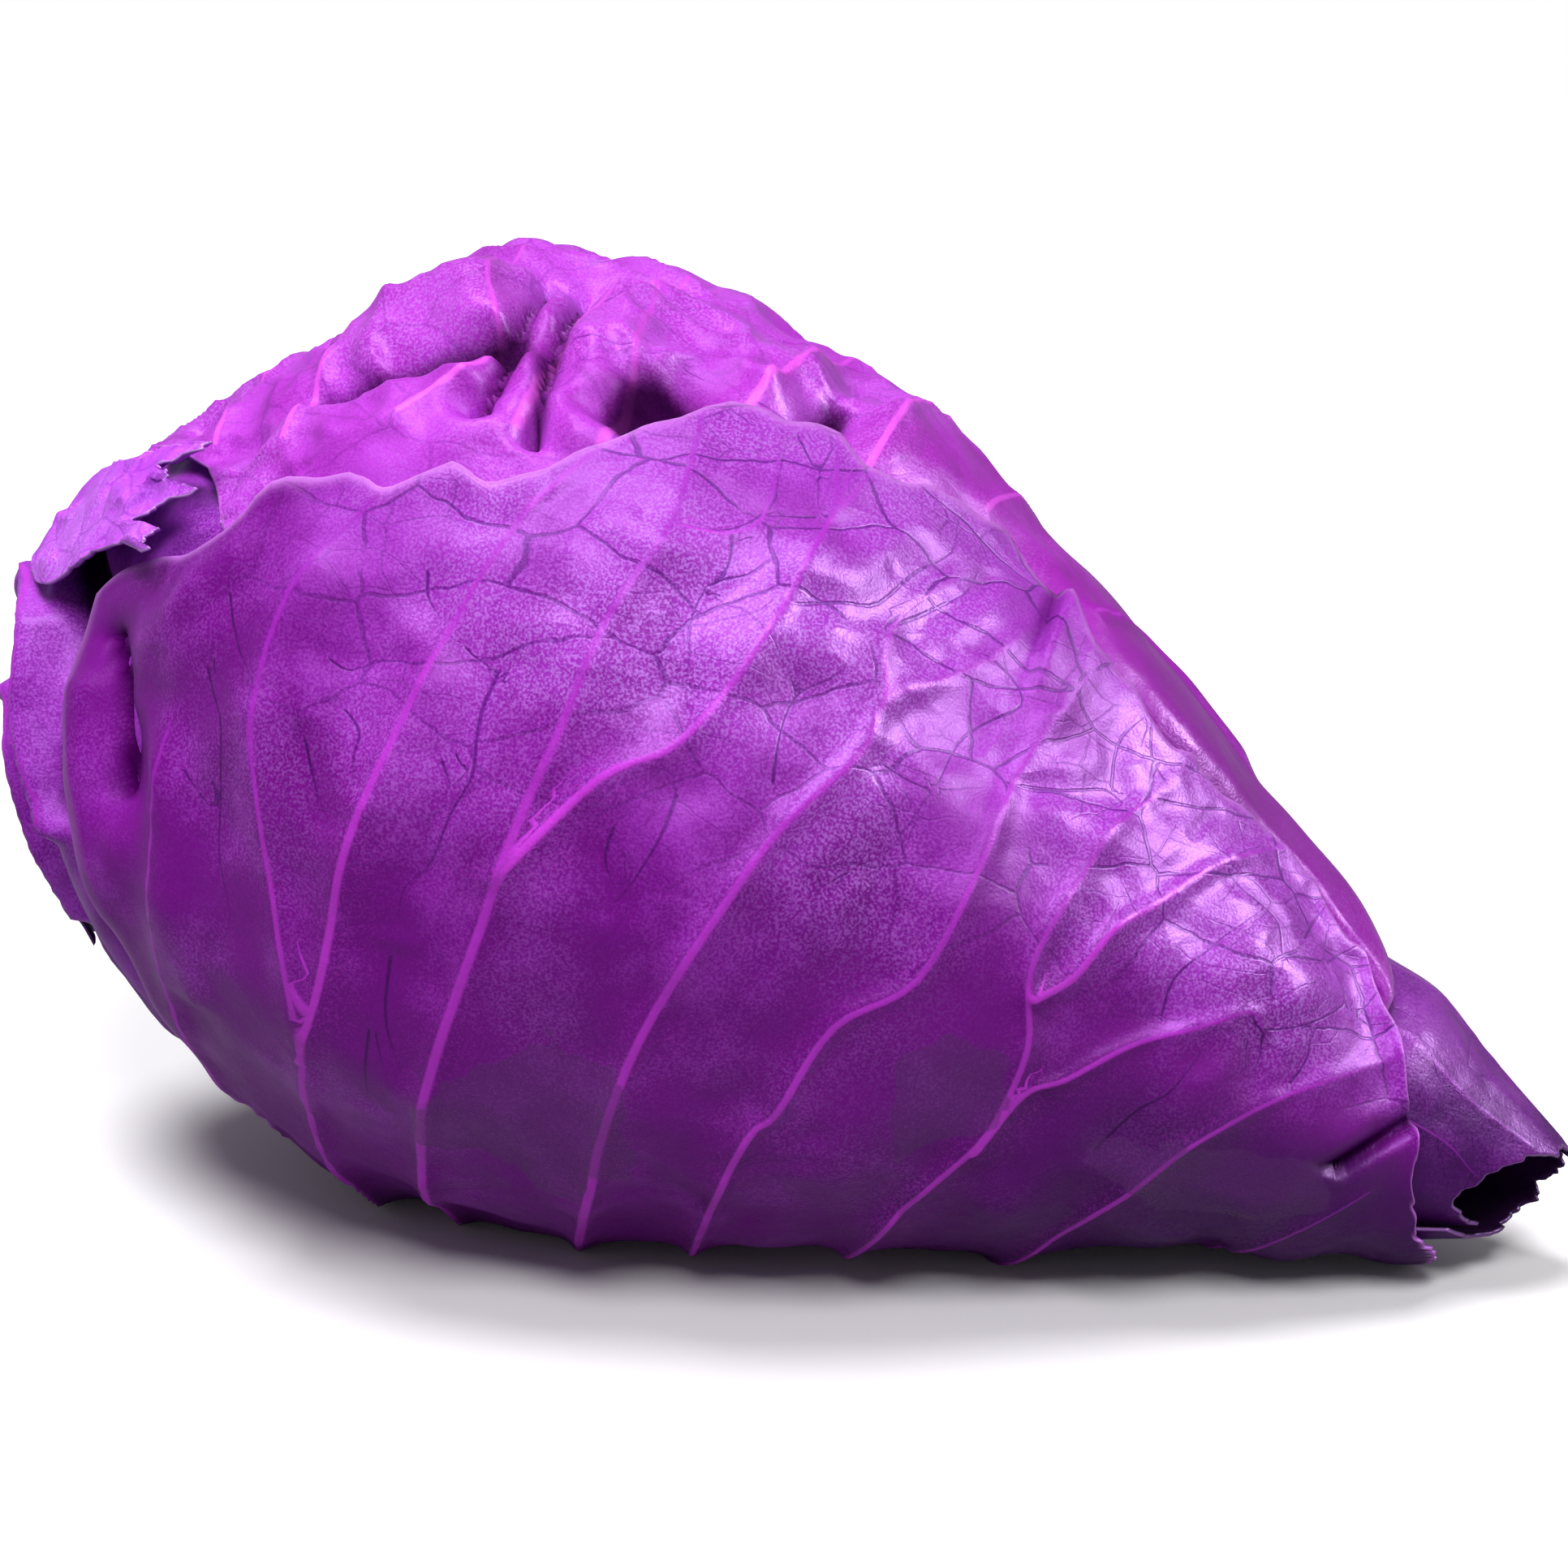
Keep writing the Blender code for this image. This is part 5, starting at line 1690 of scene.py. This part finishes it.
@dataclass
class Heart:
    """The tightly packed inner leaves, seen only in the gaps between the outer ones.

    It runs from `start` to `end` along the head and stays `cover` mm under the top and left
    leaves. It closes to a point over shares of its length, first at the stem and then at the tip.
    """

    node: str = "heart"
    rows: int = 110
    columns: int = 150
    floor: float = 5.2
    start: float = 0.125
    end: float = 0.83
    cover: float = 4.1
    closing: tuple[float, float] = (0.12, 0.1)

    def build(self) -> bpy.types.Object:
        """Makes one closed body under the leaves, its radius eased to nothing at both ends."""
        share = np.linspace(0, 1, self.rows)
        reach = self.start + (self.end - self.start) * share
        along = np.repeat(reach[:, None], self.columns, axis=1)
        turn = np.linspace(-180, 180, self.columns, endpoint=False)
        around = np.repeat(turn[None, :], self.rows, axis=0)
        depth = 7.6 + 3.6 * ease(0.58, 0.68, along)
        radius = soft_min(HEAD.radius(along) - depth, top_surface(along, around) - self.cover)
        radius = soft_min(radius, left_surface(along, around) - self.cover)
        swirl = 0.35 * np.sin(np.radians(around) * 5 + along * 30)
        narrowed = np.ones(share.shape)
        for from_end, width in zip((share, 1 - share), self.closing):
            narrowed *= np.sqrt(np.clip(1 - np.clip(1 - from_end / width, 0, 1) ** 2, 0, 1))
        points = HEAD.place(along, around, (radius + swirl) * narrowed[:, None])
        points[..., 2] = np.maximum(points[..., 2], self.floor)
        size = (self.rows - 2) * self.columns + 2
        plain = ("rib_wide", "rib_pink", "twig_wide", "halo", "rim", "inside", "film", "hollow")
        layers = {label: np.zeros(size) for label in plain}
        layers |= {label: np.ones(size) for label in ("rib_off", "twig_off")}
        layers["upper"] = np.full(size, 0.4)
        layers["flat_x"] = np.append(along[1:-1].ravel(), [self.start, self.end]) * HEAD.length
        flat_y = np.radians(around) * HEAD.girth(along)
        layers["flat_y"] = np.append(flat_y[1:-1].ravel(), [0.0, 0.0])
        piece = ShellMesh("heart_leaves").turned(points[1:-1], points[[0, -1], 0], layers)
        dress(piece, self.node, LEFT_SKIN.build())
        return piece


@dataclass
class Stem:
    """The cut stump: a stalk a little oval, with rings on its cut and ridges on its side."""

    node: str = "stem"
    sides: int = 120
    side_rings: int = 26
    profile: tuple = (
        (-1.0, 10.0), (-4.5, 11.8), (-7.5, 12.4), (-10.0, 12.2), (-10.8, 11.7), (-11.0, 11.0)
    )

    def build(self) -> bpy.types.Object:
        """Turns the profile round the stalk's line and closes both ends with rings."""
        ahead, up, front = (axis[0] for axis in HEAD.axes(np.array([0.0])))
        base = HEAD.centre(np.array([0.0]))[0]
        angle = np.radians(np.arange(self.sides) * 360.0 / self.sides)
        shares = np.linspace(1.0, 0.08, 14)
        inner = [(self.profile[0][0], self.profile[0][1] * s) for s in shares[:0:-1]]
        cut = [(self.profile[-1][0] + 0.5 * (1 - s), self.profile[-1][1] * s) for s in shares[1:]]
        stations = tuple((i, *row) for i, row in enumerate(self.profile))
        side = smooth_through(stations, np.linspace(0, len(self.profile) - 1, self.side_rings))
        rings = np.array([*inner, *side.tolist(), *cut])
        oval = 1 + 0.04 * np.sin(3 * angle + 0.5) + 0.02 * np.sin(7 * angle)
        oval += 0.006 * np.sin(31 * angle)
        depth = rings[:, :1] + 0.15 * np.sin(5 * angle + rings[:, 1:])
        girth = rings[:, 1:] * oval
        spokes = np.cos(angle)[:, None] * front + np.sin(angle)[:, None] * up
        points = base + ahead * depth[..., None] + girth[..., None] * spokes
        poles = np.stack([points[0].mean(axis=0), points[-1].mean(axis=0)])
        count = np.arange(len(rings))
        on_side = (count >= len(inner)) & (count < len(inner) + self.side_rings - 1)
        skin = np.repeat(np.where(on_side, 1.0, 0.0)[:, None], self.sides, axis=1)
        bands = 0.3 + 0.3 * np.sin(girth * 2.4 + 0.3 * np.sin(4 * angle))
        layers = {
            "skin": np.append(skin.ravel(), [0.0, 0.0]),
            "ring": np.append(bands.ravel(), [0.3, 0.3]),
        }
        piece = ShellMesh("stem_stalk").turned(points, poles, layers)
        dress(piece, self.node, CutStalk().build())
        return piece


@dataclass
class Studio:
    """A plain pale floor, soft light from overhead and the camera.

    `softboxes` lists name, place, aim, size in metres, power in watts and whether it lights the
    pigment as well as the wax's shine. `bounce` is how bright the floor is as a light.
    """

    target: tuple[float, float, float] = (0.00355, -0.00555, 0.0635)
    distance: float = 0.42
    elevation: float = 15.0
    half_width: float = 0.115
    sensor: float = 36.0
    floor_side: float = 12.0
    white: str = "#f7f5f8"
    sun_power: float = 2.8
    sun_angle: float = 26.0
    sun_way: tuple[float, float, float] = (-0.24, -0.06, 1.0)
    surroundings: float = 0.20
    bounce: str = "#8e8a92"
    softboxes: tuple = (
        ("front_fill", (0.02, -0.60, 0.74), (0.0, 0.0, 0.05), 0.34, 5.6, True),
        ("top_shine", (0.12, -0.46, 0.78), (0.0, 0.0, 0.05), 0.34, 6.0, False),
        ("right_shine", (0.78, -0.20, 0.46), (0.03, 0.0, 0.05), 0.30, 18.0, False),
    )

    def build(self) -> None:
        """Makes the floor, the lights, the surroundings and the camera."""
        self.floor()
        self.lights()
        self.world()
        self.camera()

    def floor(self) -> None:
        """A wide matt plane at the head's resting height, overexposed to white far away."""
        half = self.floor_side / 2
        mesh = bpy.data.meshes.new("floor")
        corners = [(-half, -half, 0), (half, -half, 0), (half, half, 0), (-half, half, 0)]
        mesh.from_pydata(corners, [], [(0, 1, 2, 3)])
        floor = bpy.data.objects.new("floor", mesh)
        bpy.context.scene.collection.objects.link(floor)
        finish = bpy.data.materials.new("matt_white_paper")
        finish.use_nodes = True
        shader = finish.node_tree.nodes["Principled BSDF"]
        put = partial(add_node, finish.node_tree)
        direct = put("LightPath", output="Is Camera Ray")
        tone = put("Mix", COLOURS, {0: direct, 6: linear(self.bounce), 7: linear(self.white)}, 2)
        spot = put("TexCoord", output="Object")
        away = put("VectorMath", {"operation": "LENGTH"}, {0: spot}, "Value")
        glow = put("MapRange", SMOOTH, {0: away, 1: 0.12, 2: 0.60, 3: 0.0, 4: 0.45})
        glow = put("Math", TIMES, {0: glow, 1: direct})
        finish.node_tree.links.new(tone, shader.inputs["Base Color"])
        finish.node_tree.links.new(glow, shader.inputs["Emission Strength"])
        shader.inputs["Emission Color"].default_value = (1.0, 1.0, 1.0, 1.0)
        shader.inputs["Roughness"].default_value = 0.8
        shader.inputs["Specular IOR Level"].default_value = 0.2
        mesh.materials.append(finish)

    def lights(self) -> None:
        """A wide overhead sun, and the softboxes that give the shoulders their shine."""
        data = bpy.data.lights.new("overhead", "SUN")
        data.energy = self.sun_power
        data.angle = float(np.radians(self.sun_angle))
        sun = bpy.data.objects.new("overhead", data)
        sun.rotation_euler = Vector(self.sun_way).to_track_quat("Z", "Y").to_euler()
        bpy.context.scene.collection.objects.link(sun)
        for name, place, aim, size, power, on_pigment in self.softboxes:
            data = bpy.data.lights.new(name, "AREA")
            data.shape = "DISK"
            data.size = size
            data.energy = power
            light = bpy.data.objects.new(name, data)
            light.location = place
            light.visible_diffuse = on_pigment
            light.rotation_euler = (Vector(aim) - Vector(place)).to_track_quat("-Z", "Y").to_euler()
            bpy.context.scene.collection.objects.link(light)

    def world(self) -> None:
        """White surroundings, dimmer as light than they look to the camera."""
        world = bpy.data.worlds.new("white_room")
        world.use_nodes = True
        tree = world.node_tree
        white = (1.0, 1.0, 1.0, 1.0)
        lit = add_node(tree, "Background", inputs={"Color": white, "Strength": self.surroundings})
        seen = add_node(tree, "Background", inputs={"Color": white, "Strength": 1.0})
        direct = add_node(tree, "LightPath", output="Is Camera Ray")
        mixed = add_node(tree, "MixShader", inputs={0: direct, 1: lit, 2: seen})
        tree.links.new(mixed, tree.nodes["World Output"].inputs["Surface"])
        bpy.context.scene.world = world

    def camera(self) -> None:
        """Looks along +Y from a little above, with the head's length filling the frame."""
        tilt = np.radians(self.elevation)
        back = Vector((0.0, -float(np.cos(tilt)), float(np.sin(tilt))))
        data = bpy.data.cameras.new("camera")
        data.sensor_width = self.sensor
        data.lens = self.sensor * self.distance / (2 * self.half_width)
        data.clip_start = 0.01
        camera = bpy.data.objects.new("camera", data)
        camera.location = Vector(self.target) + back * self.distance
        camera.rotation_euler = (-back).to_track_quat("-Z", "Y").to_euler()
        bpy.context.scene.collection.objects.link(camera)
        bpy.context.scene.camera = camera
        bpy.context.scene.view_settings.view_transform = "Standard"


def main() -> None:
    """Builds every piece in order."""
    logging.basicConfig(level=logging.INFO, format="%(message)s")
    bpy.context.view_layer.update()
    for piece in (Heart(), Stem(), LEFT, BACK, TIP, TOP, FRONT, TORN, SCRAP):
        piece.build()
    Studio().build()
    bpy.context.view_layer.update()


if __name__ == "__main__":
    main()
